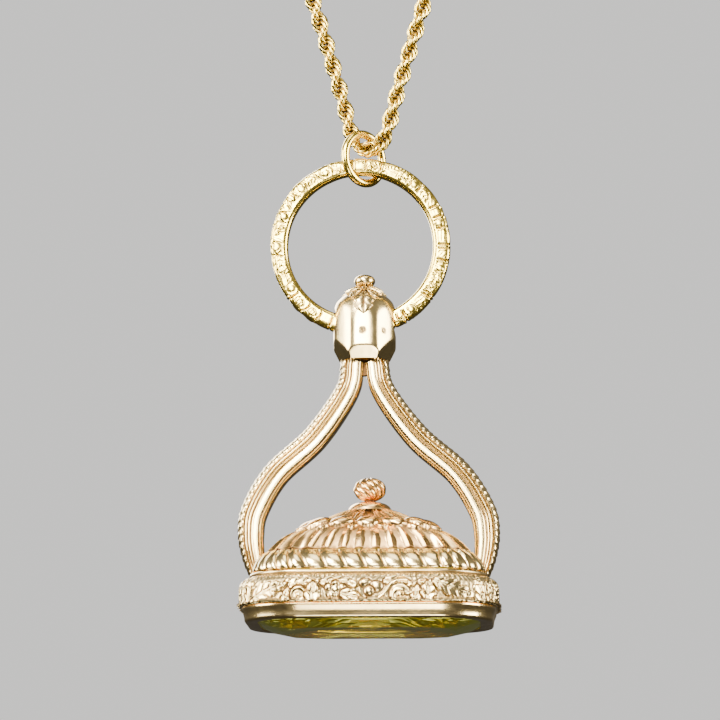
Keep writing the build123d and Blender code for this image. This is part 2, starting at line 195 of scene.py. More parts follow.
def goldFinish(name, bright, deep, roughness):
    # "hollow" is 0 on polished high spots and 1 in chased hollows, where old gold keeps its tarnish; it also
    # carries painted shade, darkening joins, gaps and parts that lie under others in the base colour
    finish, tree, shader = newFinish(name, {"Metallic": 1.0})
    place = addNode(tree, "ShaderNodeTexCoord")
    tarnishAndShade = addNode(tree, "ShaderNodeAttribute", attribute_name="hollow")
    cloud = addNode(tree, "ShaderNodeTexNoise", {"Scale": wear["cloudScale"], "Detail": 4})
    hair = addNode(tree, "ShaderNodeTexNoise", {"Scale": wear["hairScale"], "Detail": 5})
    blot = addNode(tree, "ShaderNodeMapRange",
                   {"From Min": 0.35, "From Max": 0.75, "To Min": 0.0, "To Max": wear["blot"]})
    both = addNode(tree, "ShaderNodeMath", operation="ADD", use_clamp=True)
    tint = addNode(tree, "ShaderNodeMix", {6: (*bright, 1), 7: (*deep, 1)}, data_type="RGBA")
    rough = addNode(tree, "ShaderNodeMapRange",
                    {"To Min": roughness, "To Max": roughness + wear["hollowRough"]})
    scuff = addNode(tree, "ShaderNodeMath", {1: wear["scuff"]}, operation="MULTIPLY_ADD")
    dents = addNode(tree, "ShaderNodeBump", {"Strength": wear["grain"], "Distance": wear["grainDepth"]})
    joinNodes(tree, (place, "Object", cloud, "Vector"), (place, "Object", hair, "Vector"),
              (cloud, "Fac", blot, "Value"), (tarnishAndShade, "Fac", both, 0), (blot, "Result", both, 1),
              (both, 0, tint, 0), (tint, 2, shader, "Base Color"), (both, 0, rough, "Value"),
              (hair, "Fac", scuff, 0), (rough, "Result", scuff, 2), (scuff, 0, shader, "Roughness"),
              (hair, "Fac", dents, "Height"), (dents, "Normal", shader, "Normal"))
    return finish


def stoneFinish():
    # the faint glow stands for light caught inside the closed case
    finish, tree, shader = newFinish("citrineStone", {
        "Roughness": 0.015, "IOR": 1.55, "Transmission Weight": 1.0,
        "Emission Color": (0.42, 0.44, 0.03, 1), "Emission Strength": 0.035})
    place = addNode(tree, "ShaderNodeTexCoord")
    cloud = addNode(tree, "ShaderNodeTexNoise", {"Scale": 160})
    tint = addNode(tree, "ShaderNodeMix", {6: (0.86, 0.80, 0.16, 1), 7: (0.70, 0.72, 0.10, 1)},
                   data_type="RGBA")
    joinNodes(tree, (place, "Object", cloud, "Vector"), (cloud, "Fac", tint, 0),
              (tint, 2, shader, "Base Color"))
    return finish


yellowGold = goldFinish("yellowGold", (0.97, 0.7, 0.12), (0.17, 0.09, 0.012), 0.13)
paleGold = goldFinish("paleGold", (1.0, 0.73, 0.30), (0.09, 0.045, 0.015), 0.12)
roseGold = goldFinish("roseGold", (0.93, 0.57, 0.2), (0.08, 0.03, 0.01), 0.13)
citrineStone = stoneFinish()
print("finishes made")


# Making meshes
def smoothStep(value, low, high):
    share = np.clip((value - low) / (high - low), 0, 1)
    return share * share * (3 - 2 * share)


def bump(offset, width):  # 1 in the middle, fading over a width
    return np.exp(-((offset / width) ** 2))


def domed(reach):  # the height of a half circle, 1 in the middle and 0 from a reach of 1
    return np.sqrt(np.clip(1 - np.square(reach), 0, 1))


def polar(reach, angle, height):  # points round the Z axis
    return np.stack(np.broadcast_arrays(reach * np.cos(angle), reach * np.sin(angle), height), -1)


def allRound(count):  # evenly spaced directions all round
    return np.linspace(0, 2 * pi, count, endpoint=False)


def wayAlong(points):  # the distance along a line at each of its points
    return np.concatenate([[0], np.cumsum(np.linalg.norm(np.diff(points, axis=0), axis=1))])


def gridPart(grid, roundRows=False, roundCols=False, hollow=None, capped=False):
    # grid is rows by columns by xyz; capped closes its first and last rows with a fan
    rows, cols = grid.shape[:2]
    index = np.arange(rows * cols).reshape(rows, cols)
    near = index if roundRows else index[:-1]
    far = np.roll(index, -1, 0) if roundRows else index[1:]
    if roundCols:
        quads = np.stack([near, np.roll(near, -1, 1), np.roll(far, -1, 1), far], -1)
    else:
        quads = np.stack([near[:, :-1], near[:, 1:], far[:, 1:], far[:, :-1]], -1)
    faces = quads.reshape(-1, 4).tolist()
    points = grid.reshape(-1, 3)
    tarnishAndShade = np.zeros(len(points)) if hollow is None else np.asarray(hollow, float).reshape(-1)
    if capped:
        for row in (index[0], index[-1]):
            faces += [[int(a), int(b), len(points)] for a, b in zip(row, np.roll(row, -1))]
            points = np.vstack([points, points[row].mean(0)])
            tarnishAndShade = np.append(tarnishAndShade, tarnishAndShade[row].mean())
    return points, faces, tarnishAndShade


def moved(part, offset):
    points, faces, tarnishAndShade = part
    return points + offset, faces, tarnishAndShade


def makePiece(name, parts, finish, sharpAngle=35):
    # joins parts of (points, faces, hollow) into one closed object
    points, faces, tarnishAndShade = [], [], []
    count = 0
    for partPoints, partFaces, partTarnishAndShade in parts:
        points.append(partPoints)
        tarnishAndShade.append(partTarnishAndShade)
        faces += [[corner + count for corner in face] for face in partFaces]
        count += len(partPoints)
    mesh = bpy.data.meshes.new(name)
    mesh.from_pydata((np.vstack(points) * mm).tolist(), [], faces)
    shape = bmesh.new()
    shape.from_mesh(mesh)
    bmesh.ops.recalc_face_normals(shape, faces=shape.faces)
    shape.to_mesh(mesh)
    shape.free()
    mesh.attributes.new("hollow", "FLOAT", "POINT").data.foreach_set(
        "value", np.clip(np.concatenate(tarnishAndShade), 0, 1).astype(np.float32))
    return finishPiece(name, mesh, finish, sharpAngle)


def finishPiece(name, mesh, finish, sharpAngle):
    mesh.materials.clear()
    mesh.materials.append(finish)
    mesh.polygons.foreach_set("use_smooth", [True] * len(mesh.polygons))
    mesh.set_sharp_from_angle(angle=radians(sharpAngle))
    return addObject(name, mesh)


def fit(piece, body, slotName, *nodes):
    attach(piece, body)
    if nodes:
        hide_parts(*nodes)
    triangles = sum(len(face.vertices) - 2 for face in piece.data.polygons)
    print(f"{piece.name}: {triangles} triangles")


def smoothLine(points, count):
    # evenly spaced points on a smooth line through a few
    points = np.asarray(points, float)
    ends = np.vstack([2 * points[0] - points[1], points, 2 * points[-1] - points[-2]])
    line = []
    for a, b, c, d in zip(ends, ends[1:], ends[2:], ends[3:]):
        t = np.linspace(0, 1, 60, endpoint=False)[:, None]
        line.append(0.5 * (2 * b + (c - a) * t + (2 * a - 5 * b + 4 * c - d) * t**2
                           + (3 * b - a - 3 * c + d) * t**3))
    line = np.vstack(line + [points[-1:]])
    way = wayAlong(line)
    spots = np.linspace(0, way[-1], count)
    return np.stack([np.interp(spots, way, line[:, i]) for i in range(line.shape[1])], 1)


def roundedOutline(length, depth, corner, count):
    # points, outward directions and length round a rectangle with round corners, from the middle of the front
    sides = (length - 2 * corner, depth - 2 * corner) * 2
    bend = corner * pi / 2
    whole = sum(sides) + 4 * bend
    ways = (np.arange(count) / count * whole + sides[0] / 2) % whole
    spots = np.zeros((count, 2))
    outs = np.zeros((count, 2))
    centre = np.array([-sides[0] / 2, -sides[1] / 2])
    start = 0.0
    for quarter, side in enumerate(sides):
        turn = pi / 2 * quarter
        ahead = np.array([cos(turn), sin(turn)])
        here = (ways >= start) & (ways < start + side + bend)
        along = ways[here] - start
        angle = turn - pi / 2 + np.clip(along - side, 0, bend) / max(corner, 1e-6)
        outs[here] = np.stack([np.cos(angle), np.sin(angle)], 1)
        spots[here] = centre + ahead * np.minimum(along, side)[:, None] + outs[here] * corner
        start += side + bend
        centre = centre + ahead * side
    return spots, outs, whole


# Chased ornament: heights from 0 to 1 over a flat place, x along a motif and y across it
def softEdge(value, softness=0.1):
    return np.clip(value / softness, 0, 1)


def leafStamp(x, y, size, bend):
    # lobes that lean towards the tip, smooth but for thin creases between them and beside the middle rib
    y = y - bend * size * (x / size) ** 2
    share = np.clip(x / size + 0.5, 0, 1)
    reach = np.abs(y) / size
    lobe = np.abs(np.sin(pi * (max(2, round(size)) * (share - 0.9 * reach) + 0.35)))
    half = min(0.34 * size, 1.1) * np.sin(pi * share**0.72) ** 0.7 * (0.62 + 0.38 * lobe**0.6)
    crease = 1 - 0.5 * bump(lobe, 0.25) * softEdge(reach * size - 0.1, 0.15)
    rib = 1 - 0.4 * bump(np.abs(y) - 0.1, 0.06) * (share < 0.85)
    body = (0.84 + 0.16 * lobe**0.5) * crease * rib
    return np.where((share > 0) & (share < 1), softEdge(half - np.abs(y), 0.15) * body, 0)


def fanStamp(x, y, size, bend):
    reach = np.hypot(x + size / 2, y) / size
    angle = np.arctan2(y, x + size / 2)
    lobe = np.abs(np.cos(2.5 * angle)) ** 0.6
    body = (0.5 + 0.5 * lobe) * np.clip(0.65 + 0.4 * reach, 0, 1)
    return softEdge((0.6 + 0.4 * lobe - reach) * size) * body * (np.abs(angle) < 1.55)


def voluteStamp(x, y, size, bend):
    reach = np.hypot(x, y) / (size / 2)
    coil = 0.5 + 0.5 * np.cos(2 * pi * (1.35 * reach - np.arctan2(y, x) / (2 * pi)))
    boss = domed(reach / 0.36)
    return np.maximum(softEdge((1 - reach) * size / 2) * (0.15 + 0.85 * coil**0.6) * (reach > 0.36), boss)


def bossStamp(x, y, size, bend):
    return domed(np.hypot(x, y) / (size / 2))


def stemStamp(x, y, size, bend):
    y = y - bend * size * np.sin(2 * pi * x / size) / 4
    wide = 0.16 + 0.1 * x / size
    return 0.85 * np.exp(-((y / wide) ** 4)) * softEdge(size / 2 - np.abs(x))


def berriesStamp(x, y, size, bend):
    height = bossStamp(x, y, 0.42 * size, 0)
    for berry in range(5):
        turn = 2 * pi * berry / 5 + 0.3
        height = np.maximum(height, bossStamp(x - 0.31 * size * cos(turn), y - 0.31 * size * sin(turn),
                                              0.36 * size, 0))
    return height


# Engraved ornament: heights above and below a smooth face
def cutStamp(x, y, size, bend):
    x = x - bend * y**2
    return 0.45 * size * bump(x - 0.17, 0.13) - 0.9 * size * bump(x, 0.085)


def curlStamp(x, y, size, bend):
    reach = np.hypot(x, y) / (size / 2)
    off = (1.25 * reach - np.arctan2(y, x) / (2 * pi) + 0.5) % 1 - 0.5
    line = bump(off * size / 2.5, 0.075) * (reach > 0.4) * (reach < 1.2)
    return 0.45 * domed(reach / 0.5) + 0.25 * (reach < 1.05) - 0.75 * line


def knobStamp(x, y, size, bend):
    reach = np.hypot(x, y)
    return 0.75 * domed(reach / (size / 2)) - 0.6 * bump(reach - size / 2 - 0.05, 0.08)


def linesStamp(x, y, size, bend):
    y = y - bend * x
    fade = softEdge(size / 2 - np.abs(x), 0.5)
    return -0.55 * fade * np.cos(pi * y / 0.36) ** 8


def sprigStamp(x, y, size, bend):
    y = y - bend * size * (x / size) ** 2
    share = np.clip(x / size + 0.5, 0, 1)
    half = 0.3 * size * np.sin(pi * share**0.8) ** 0.8
    inside = (share > 0) & (share < 1) & (np.abs(y) < half + 0.1)
    veins = np.abs(np.cos(pi * (3.5 * share - 2.7 * np.abs(y) / size))) ** 10
    blade = (0.22 - 0.45 * veins) * (np.abs(y) < half)
    return np.where(inside, blade - 0.7 * bump(np.abs(y) - half, 0.07) - 0.5 * bump(y, 0.06), 0)


stamps = {"leaf": leafStamp, "fan": fanStamp, "volute": voluteStamp, "boss": bossStamp, "stem": stemStamp,
          "berries": berriesStamp, "cut": cutStamp, "curl": curlStamp, "knob": knobStamp, "lines": linesStamp,
          "sprig": sprigStamp}


def chase(along, across, whole, motifs, engraved=False):
    # heights of a table of motifs: place along and across, kind, size, turn in degrees and bend;
    # a raised motif lies over the ones before it, and a thin line round it is kept as its outline
    height = np.zeros(np.broadcast(along, across).shape)
    outline = np.zeros(height.shape)
    for spot, side, kind, size, turn, bend in motifs:
        x = (along - spot + whole / 2) % whole - whole / 2
        y = across - side
        c, s = cos(radians(turn)), sin(radians(turn))
        x, y = x * c + y * s, y * c - x * s
        stamp = stamps[kind](x, y, size, bend)
        if engraved:
            height = height + stamp
            continue
        near = size / (size + 0.32)
        grown = stamps[kind](x * near, y * near, size, bend) > 0.05
        outline = np.where(stamp > 0.05, 0, np.where(grown, 1, outline))
        height = np.where(stamp > 0.05, stamp, np.where(grown, 0, height))
    return height, outline


# Rope chain: links in planes that hold the chain's line and turn as they go along it, so that each
# passes through the next few and the chain looks like two twisted strands
rope = {
    "linkGap": 0.46,
    "linkRadius": 0.75,
    "wireRadius": 0.2,
    "lean": 90.0,        # of a link's plane from the chain's cross-section, in degrees
    "pitch": 5.14,       # of a whole turn of the links
    "firstTurn": 0.9,
    "linkSides": 14,
    "wireSides": 6,
}

# The chain's line: one side from the nape down to the fold in the jump ring, and then the other
napeHeight = 1.6
chainSide = [
    (6.0, 0.0, 0.0),
    (13.0, 0.0, 0.0),
    (27.1, 0.0, -4.9),
    (39.2, 0.0, -13.7),
    (48.2, 0.0, -25.7),
    (53.3, 0.0, -39.8),
    (54.6, 0.0, -57.7),
    (51.2, 0.0, -85.5),
    (40.6, 0.0, -131.3),
    (26.0, 0.0, -182.3),
    (12.6, -0.3, -226.3),
    (6.0, -0.7, -247.3),
    (2.9, -0.95, -257.9),
    (1.8, -1.12, -262.8),
]
chainFold = (0.0, 0.0, -263.8)
chainRoute = [(x, y, z + napeHeight) for x, y, z in
              chainSide + [chainFold] + [(-x, -y, z) for x, y, z in reversed(chainSide)]]


def splineOf(name, points, order):
    curve = bpy.data.curves.new(name, "CURVE")
    curve.dimensions = "3D"
    curve.resolution_u = 24
    spline = curve.splines.new("NURBS")
    spline.points.add(len(points) - 1)
    for spot, (x, y, z) in zip(spline.points, points):
        spot.co = (x * mm, y * mm, z * mm, 1)
    spline.order_u = order
    spline.use_endpoint_u = True
    return addObject(name, curve)


def plainLine(line):  # the points of a curve, in millimetres
    mesh = plainMesh(line)
    spots = np.array([vertex.co[:] for vertex in mesh.vertices]) / mm
    bpy.data.meshes.remove(mesh)
    return spots


def ropeTree():
    tree = bpy.data.node_groups.new("ropeLinks", "GeometryNodeTree")

    def socket(name, direction, kind):
        made = tree.interface.new_socket(name=name, in_out=direction, socket_type="NodeSocket" + kind)
        return made.identifier

    socket("Geometry", "INPUT", "Geometry")
    kinds = {"Link Gap": "Float", "Link Radius": "Float", "Wire Radius": "Float", "Lean": "Float",
             "Link Turn": "Float", "First Turn": "Float", "Link Sides": "Int", "Wire Sides": "Int",
             "Gold": "Material"}
    keys = {name: socket(name, "INPUT", kind) for name, kind in kinds.items()}
    socket("Geometry", "OUTPUT", "Geometry")
    given = addNode(tree, "NodeGroupInput")
    out = addNode(tree, "NodeGroupOutput")
    spaced = addNode(tree, "GeometryNodeResampleCurve", mode="LENGTH")
    spots = addNode(tree, "GeometryNodeCurveToPoints", mode="EVALUATED")
    joinNodes(tree, (given, "Geometry", spaced, "Curve"), (given, "Link Gap", spaced, "Length"),
              (spaced, 0, spots, 0))
    # one link: a ring of wire that leans
    ring = addNode(tree, "GeometryNodeCurvePrimitiveCircle")
    wire = addNode(tree, "GeometryNodeCurvePrimitiveCircle")
    body = addNode(tree, "GeometryNodeCurveToMesh")
    lean = addNode(tree, "ShaderNodeCombineXYZ")
    leaning = addNode(tree, "GeometryNodeTransform")
    joinNodes(tree, (given, "Link Sides", ring, "Resolution"), (given, "Link Radius", ring, "Radius"),
              (given, "Wire Sides", wire, "Resolution"), (given, "Wire Radius", wire, "Radius"),
              (ring, "Curve", body, "Curve"), (wire, "Curve", body, "Profile Curve"),
              (given, "Lean", lean, "X"), (body, 0, leaning, "Geometry"), (lean, 0, leaning, "Rotation"))
    # painted shade: the wire that lies inside the chain, where the links cover each other, is darkened
    place = addNode(tree, "GeometryNodeInputPosition")
    apart = addNode(tree, "ShaderNodeSeparateXYZ")
    offMiddle = addNode(tree, "ShaderNodeMath", operation="ABSOLUTE")
    innerShade = addNode(tree, "ShaderNodeMapRange",
                      {"From Min": 0.3 * mm, "From Max": 0.65 * mm, "To Min": 0.9, "To Max": 0.0})
    kept = addNode(tree, "GeometryNodeStoreNamedAttribute", data_type="FLOAT", domain="POINT")
    kept.inputs["Name"].default_value = "hollow"
    joinNodes(tree, (place, 0, apart, 0), (apart, "X", offMiddle, 0), (offMiddle, 0, innerShade, "Value"),
              (leaning, 0, kept, "Geometry"), (innerShade, "Result", kept, "Value"))
    # the slow turn from link to link about the chain's line
    number = addNode(tree, "GeometryNodeInputIndex")
    wound = addNode(tree, "ShaderNodeMath", operation="MULTIPLY_ADD")
    about = addNode(tree, "FunctionNodeAxisAngleToRotation", {"Axis": (0, 0, 1)})
    turned = addNode(tree, "FunctionNodeRotateRotation", rotation_space="LOCAL")
    placed = addNode(tree, "GeometryNodeInstanceOnPoints")
    real = addNode(tree, "GeometryNodeRealizeInstances")
    dressed = addNode(tree, "GeometryNodeSetMaterial")
    joinNodes(tree, (number, 0, wound, 0), (given, "Link Turn", wound, 1), (given, "First Turn", wound, 2),
              (wound, 0, about, "Angle"), (spots, "Rotation", turned, 0), (about, 0, turned, 1),
              (spots, "Points", placed, "Points"), (kept, 0, placed, "Instance"),
              (turned, 0, placed, "Rotation"), (placed, 0, real, 0), (real, 0, dressed, "Geometry"),
              (given, "Gold", dressed, "Material"), (dressed, 0, out, 0))
    return tree, keys


def growMesh(name, carrier, tree, keys, values):
    # sets the modifier's inputs before its first evaluation, and keeps the plain result
    grower = carrier.modifiers.new(tree.name, "NODES")
    grower.node_group = tree
    for key, value in values.items():
        grower[keys[key]] = value
    mesh = plainMesh(carrier)
    mesh.name = name
    carrier.modifiers.remove(grower)
    return mesh


def makeRopeChain():
    route = splineOf("chainRoute", chainRoute, 3)
    line = plainLine(route)
    bpy.data.objects.remove(route)
    way = wayAlong(line)
    links = int(way[-1] / rope["linkGap"])
    linkTurn = 2 * pi * rope["linkGap"] / rope["pitch"]
    tree, keys = ropeTree()
    half = links // 2
    for name, first, last in (("rope_chain_right", 0, half), ("rope_chain_left", half, links)):
        spots = np.stack([np.interp(np.arange(first, last) * rope["linkGap"], way, line[:, i])
                          for i in range(3)], 1)
        stretch = splineOf(name + "Line", spots, 2)
        mesh = growMesh(name, stretch, tree, keys, {
            "Link Gap": rope["linkGap"] * mm,
            "Link Radius": rope["linkRadius"] * mm,
            "Wire Radius": rope["wireRadius"] * mm,
            "Lean": radians(rope["lean"]),
            "Link Turn": linkTurn,
            "First Turn": rope["firstTurn"] + first * linkTurn,
            "Link Sides": rope["linkSides"],
            "Wire Sides": rope["wireSides"],
            "Gold": yellowGold,
        })
        bpy.data.objects.remove(stretch)
        piece = finishPiece(name, mesh, yellowGold, 80)
        fit(piece, "necklace", "yellow_gold", "rope_chain")


makeRopeChain()
print("rope chain made")

# Clasp: a plain barrel with turned edges
claspSizes = {"edge": 0.5, "groove": 0.18, "grooveSpots": (-0.62, -0.5, 0.5, 0.62), "sides": 48}


def turnedPart(profile, sides, hollow=None):
    # rings round the Z axis from a list of (radius, height)
    angles = allRound(sides)
    profile = np.asarray(profile, float)
    grid = polar(profile[:, :1], angles, profile[:, 1:])
    tarnishAndShade = None if hollow is None else np.repeat(np.asarray(hollow, float)[:, None], sides, 1)
    return gridPart(grid, roundCols=True, hollow=tarnishAndShade, capped=True)


def layAlongX(part, x, z):  # turns a part from the Z axis to one along X, and moves it
    points, faces, tarnishAndShade = part
    return np.stack([points[:, 2] + x, points[:, 1], points[:, 0] + z], 1), faces, tarnishAndShade


def makeClasp():
    low, high = boxOf("clasp")
    radius = (high[2] - low[2]) / 2
    half = (high[0] - low[0]) / 2
    edge, groove = claspSizes["edge"], claspSizes["groove"]
    shape = [(radius - edge, -half), (radius - 0.3 * edge, -half + 0.3 * edge), (radius, -half + edge)]
    for spot in claspSizes["grooveSpots"]:
        middle = spot * half
        shape += [(radius, middle - groove), (radius - groove, middle), (radius, middle + groove)]
    shape += [(radius, half - edge), (radius - 0.3 * edge, half - 0.3 * edge), (radius - edge, half)]
    part = layAlongX(turnedPart(shape, claspSizes["sides"]), 0, (low[2] + high[2]) / 2)
    fit(makePiece("clasp_barrel", [part], yellowGold), "necklace", "yellow_gold", "clasp")


makeClasp()

# Jump ring: round wire, its closed ends meeting low at the back
jumpRing = {"turn": 45.0, "wire": 0.9, "radius": 2.7, "cut": 0.05, "cutAngle": 250.0,
            "steps": 96, "sides": 20}


def makeJumpRing():
    low, high = boxOf("jump_ring")
    around = allRound(jumpRing["steps"])[:, None]
    across = allRound(jumpRing["sides"])[None, :]
    seam = bump(around - radians(jumpRing["cutAngle"]), 0.02) + 0 * across
    wire = jumpRing["wire"] / 2 * (1 - jumpRing["cut"] * seam)
    grid = polar(jumpRing["radius"] + wire * np.cos(across), around, wire * np.sin(across))
    turn = radians(jumpRing["turn"])
    x, y, z = grid[..., 0], grid[..., 1], grid[..., 2]
    world = np.stack([x * cos(turn) + z * sin(turn), x * sin(turn) - z * cos(turn), y], -1) + (low + high) / 2
    part = gridPart(world, roundRows=True, roundCols=True, hollow=seam)
    fit(makePiece("jump_ring_wire", [part], yellowGold, 60), "necklace", "yellow_gold", "jump_ring")


makeJumpRing()
print("clasp and jump ring made")

# Split ring: a soft-edged square wire, plain inside, chased over its front, outside and back
splitRing = {"radial": 1.93, "depth": 1.7, "relief": 0.11, "steps": 1000, "sides": 54, "squareness": 3.4,
             "plainRim": 0.55, "pillow": 0.6,
             "bearing": (14, 24), "bore": (19, 21)}     # degrees from the top and from the foot, fading
# Motifs clockwise from the top: degrees, millimetres in from the outermost line, kind, size, turn, bend
ringMotifs = [
    (4, 0.9, "cut", 0.6, 0, 0), (7, 1.2, "curl", 0.9, 40, 0), (10, 0.8, "sprig", 1.1, 60, 0),
    (14.5, 0.9, "cut", 1.1, 0, -0.12), (22, 0.9, "lines", 3, 0, 0.1), (30, 1.25, "curl", 0.9, 0, 0),
    (34, 0.8, "curl", 1.1, 120, 0), (37.5, 1.25, "knob", 0.5, 0, 0), (41.5, 1, "curl", 1.5, 250, 0),
    (46, 0.9, "cut", 0.7, 12, -0.3), (51.5, 1, "sprig", 1.9, 8, 0.1), (57, 0.9, "lines", 1.2, 25, 0),
    (62, 0.9, "cut", 1.2, 6, 0.1), (65.7, 0.9, "lines", 0.9, 0, 0), (69.5, 0.9, "cut", 1.1, 0, 0.1),
    (74.5, 0.95, "knob", 0.95, 0, 0), (78, 0.9, "cut", 0.9, 0, -0.2), (83.5, 0.9, "lines", 1.6, 0, 0.05),
    (89.5, 0.9, "cut", 1.1, 0, 0.05), (92.5, 0.9, "cut", 0.8, 0, -0.1), (96.5, 0.9, "lines", 0.8, 30, 0),
    (100.5, 0.9, "cut", 1.1, 4, -0.15), (106.5, 0.8, "curl", 1.4, 60, 0), (111, 1.2, "knob", 0.45, 0, 0),
    (117, 0.95, "sprig", 2.3, 6, 0.1), (125.5, 0.9, "cut", 1.1, -5, 0.1), (128, 0.9, "cut", 0.9, -5, 0.1),
    (134, 0.9, "lines", 1.5, 8, 0), (142.5, 0.85, "curl", 1.5, 200, 0), (148.5, 0.9, "cut", 1.5, 0, 0),
    (151, 0.9, "knob", 0.8, 0, 0), (157, 0.9, "cut", 1, 0, 0), (-5, 0.9, "cut", 0.8, 0, 0.1),
    (-12, 1.1, "curl", 1.2, 300, 0), (-18, 0.8, "lines", 1.8, 12, 0.1), (-25, 0.9, "curl", 1.6, 160, 0),
    (-31.5, 0.9, "cut", 0.7, -25, 0.2), (-37.5, 0.9, "sprig", 1.7, 172, 0.1),
    (-45.5, 0.75, "curl", 1.9, 20, 0), (-51, 1.3, "lines", 1.4, 0, 0), (-54.5, 0.8, "curl", 1.2, 120, 0),
    (-60.5, 1, "cut", 1, 35, 0.2), (-64, 1.25, "cut", 0.7, -35, 0.2), (-68.5, 0.85, "knob", 1, 0, 0),
    (-72.5, 0.95, "cut", 0.8, 0, -0.5), (-77, 1.1, "curl", 0.9, 0, 0), (-81, 0.7, "curl", 0.9, 180, 0),
    (-90.5, 0.65, "curl", 1.9, 90, 0), (-96, 0.8, "cut", 0.8, 40, 0.2),
    (-103.5, 0.95, "sprig", 2.6, 176, 0.12), (-110, 1.4, "knob", 0.4, 0, 0),
    (-113.5, 0.8, "lines", 1.6, 5, 0), (-117, 1.4, "knob", 0.4, 0, 0), (-122.5, 1.05, "curl", 1.5, 310, 0),
    (-127.5, 0.9, "cut", 1.2, 0, 0.1), (-133.5, 0.8, "sprig", 1.4, 190, 0),
    (-140, 0.9, "cut", 1.3, 10, 0.3), (-145, 0.8, "sprig", 1.2, 180, 0), (-150.5, 0.9, "cut", 1.3, 8, 0.3),
    (-155, 0.9, "lines", 0.9, 0, 0), (-159.5, 0.9, "cut", 1, 0, 0),
]


def makeSplitRing():
    low, high = boxOf("split_ring")
    radial, depth = splitRing["radial"], splitRing["depth"]
    radius = (high[2] - low[2]) / 2 - radial / 2
    centre = np.array([(low[0] + high[0]) / 2, 0, (low[2] + high[2]) / 2])
    steps, sides = splitRing["steps"], splitRing["sides"]
    around = allRound(steps)[:, None]
    # rounder and smoother at the top, where the jump ring bears on it
    bearing = 1 - smoothStep(np.abs((around + pi) % (2 * pi) - pi), *np.radians(splitRing["bearing"]))
    power = splitRing["squareness"] - 0.9 * bearing
    bend = np.linspace(-pi, pi, sides, endpoint=False)[None, :]
    size = (np.abs(np.cos(bend)) ** power + np.abs(np.sin(bend)) ** power) ** (-1 / power)
    outward = size * np.cos(bend) * radial / 2
    forward = size * np.sin(bend) * depth / 2
    gap = np.hypot(np.diff(outward, append=outward[:, :1]), np.diff(forward, append=forward[:, :1]))
    across = np.cumsum(gap, 1) - gap
    across = np.abs(across - across[:, sides // 2:sides // 2 + 1])
    rim = radius + radial / 2
    whole = 2 * pi * rim
    motifs = [(radians(angle) * rim, side + 0.55, *rest) for angle, side, *rest in ringMotifs]
    raised, _ = chase(around * rim, across, whole, motifs, engraved=True)
    # each stretch between two cuts swells a little
    cuts = np.sort([radians(row[0]) % (2 * pi) for row in ringMotifs if row[2] == "cut"])
    after = np.searchsorted(cuts, around[:, 0]) % len(cuts)
    span = (cuts[after] - cuts[after - 1]) % (2 * pi)
    swell = np.sin(pi * ((around[:, 0] - cuts[after - 1]) % (2 * pi)) / span)[:, None]
    swell = np.clip(swell, 0, 1) ** 0.5 * np.minimum(1, span * rim / 1.2)[:, None]
    edge = (radial + depth) * 0.5
    free = smoothStep(edge + splitRing["plainRim"] - across, 0.3, 0.6)
    free = free * smoothStep(np.abs(around - pi), *np.radians(splitRing["bore"]))
    lift = (raised - 0.45 + splitRing["pillow"] * (swell - 0.6)) * splitRing["relief"] * free
    lift = np.minimum(lift, 0.1 * (1 - bearing))
    normalOut, normalFore = np.cos(bend) * size**-0.5, np.sin(bend) * size**-0.5
    length = np.hypot(normalOut, normalFore)
    reach = radius + outward + lift * normalOut / length
    fore = forward + lift * normalFore / length
    grid = np.stack([reach * np.sin(around), -fore + 0 * around, reach * np.cos(around)], -1) + centre
    hollow = 0.75 * free * np.clip(-1.2 * raised - 0.12, 0, 1)
    part = gridPart(grid, roundRows=True, roundCols=True, hollow=hollow)
    fit(makePiece("chased_ring", [part], yellowGold, 60), "ring", "yellow_gold", "split_ring")


makeSplitRing()
print("split ring made")


# Knuckle: a polished eight-sided barrel under a dome, bored through, with a leaf cap and a button
knuckleSizes = {
    "width": 6.7, "height": 8.0, "shift": -0.55,
    "edgeSharp": 17, "cutSharp": 90, "domeSharp": 60.0,     # higher powers make crisper edges
    "steps": 240, "rows": 120,
    "buttonRadius": 1.13, "buttonHeight": 1.4,
    "boreRadius": 1.637,
    "faceReach": 3.4,    # from the axis to the front's knocks
}
# Flat cuts at the foot: direction round the barrel, distance from its axis at the middle, slope inwards
knuckleCuts = [(90, 4.7, 0.5), (-90, 4.7, 0.5), (25, 4.3, 0.453), (-25, 4.3, 0.453), (155, 4.3, 0.453),
               (-155, 4.3, 0.453)]
# Small knocks in the front, still dark inside: direction in radians, height from the middle, and size
knuckleKnocks = [(-1.59, -1.15, 0.33), (-0.86, -1.05, 0.3)]
# Leaves: directions in degrees, start and length down over the dome, width, thickness and lobes
knuckleLeaves = [
    (range(18, 378, 36), 0.15, 1.6, 0.6, 0.34, 1), (range(0, 360, 36), 0.75, 1.35, 0.62, 0.22, 1),
    ((63, 117, -117, -63), 1.75, 1.3, 1.1, 0.2, 2), ((90, -90), 1.9, 1.0, 1.0, 0.2, 1),
    ((90, -90), 2.6, 2.3, 2.5, 0.26, 2),
]
# The turned dome that cuts off the sides: radius and height from the barrel's middle
knuckleDome = [(0.45, 4.0), (1.0, 3.88), (1.5, 3.62), (1.95, 3.32), (2.4, 3.0), (2.8, 2.64), (3.08, 2.25),
               (3.26, 1.7), (3.42, 0.95), (3.55, 0.1), (3.6, -1.0), (3.6, -2.5), (3.55, -3.88), (3.4, -4.0)]


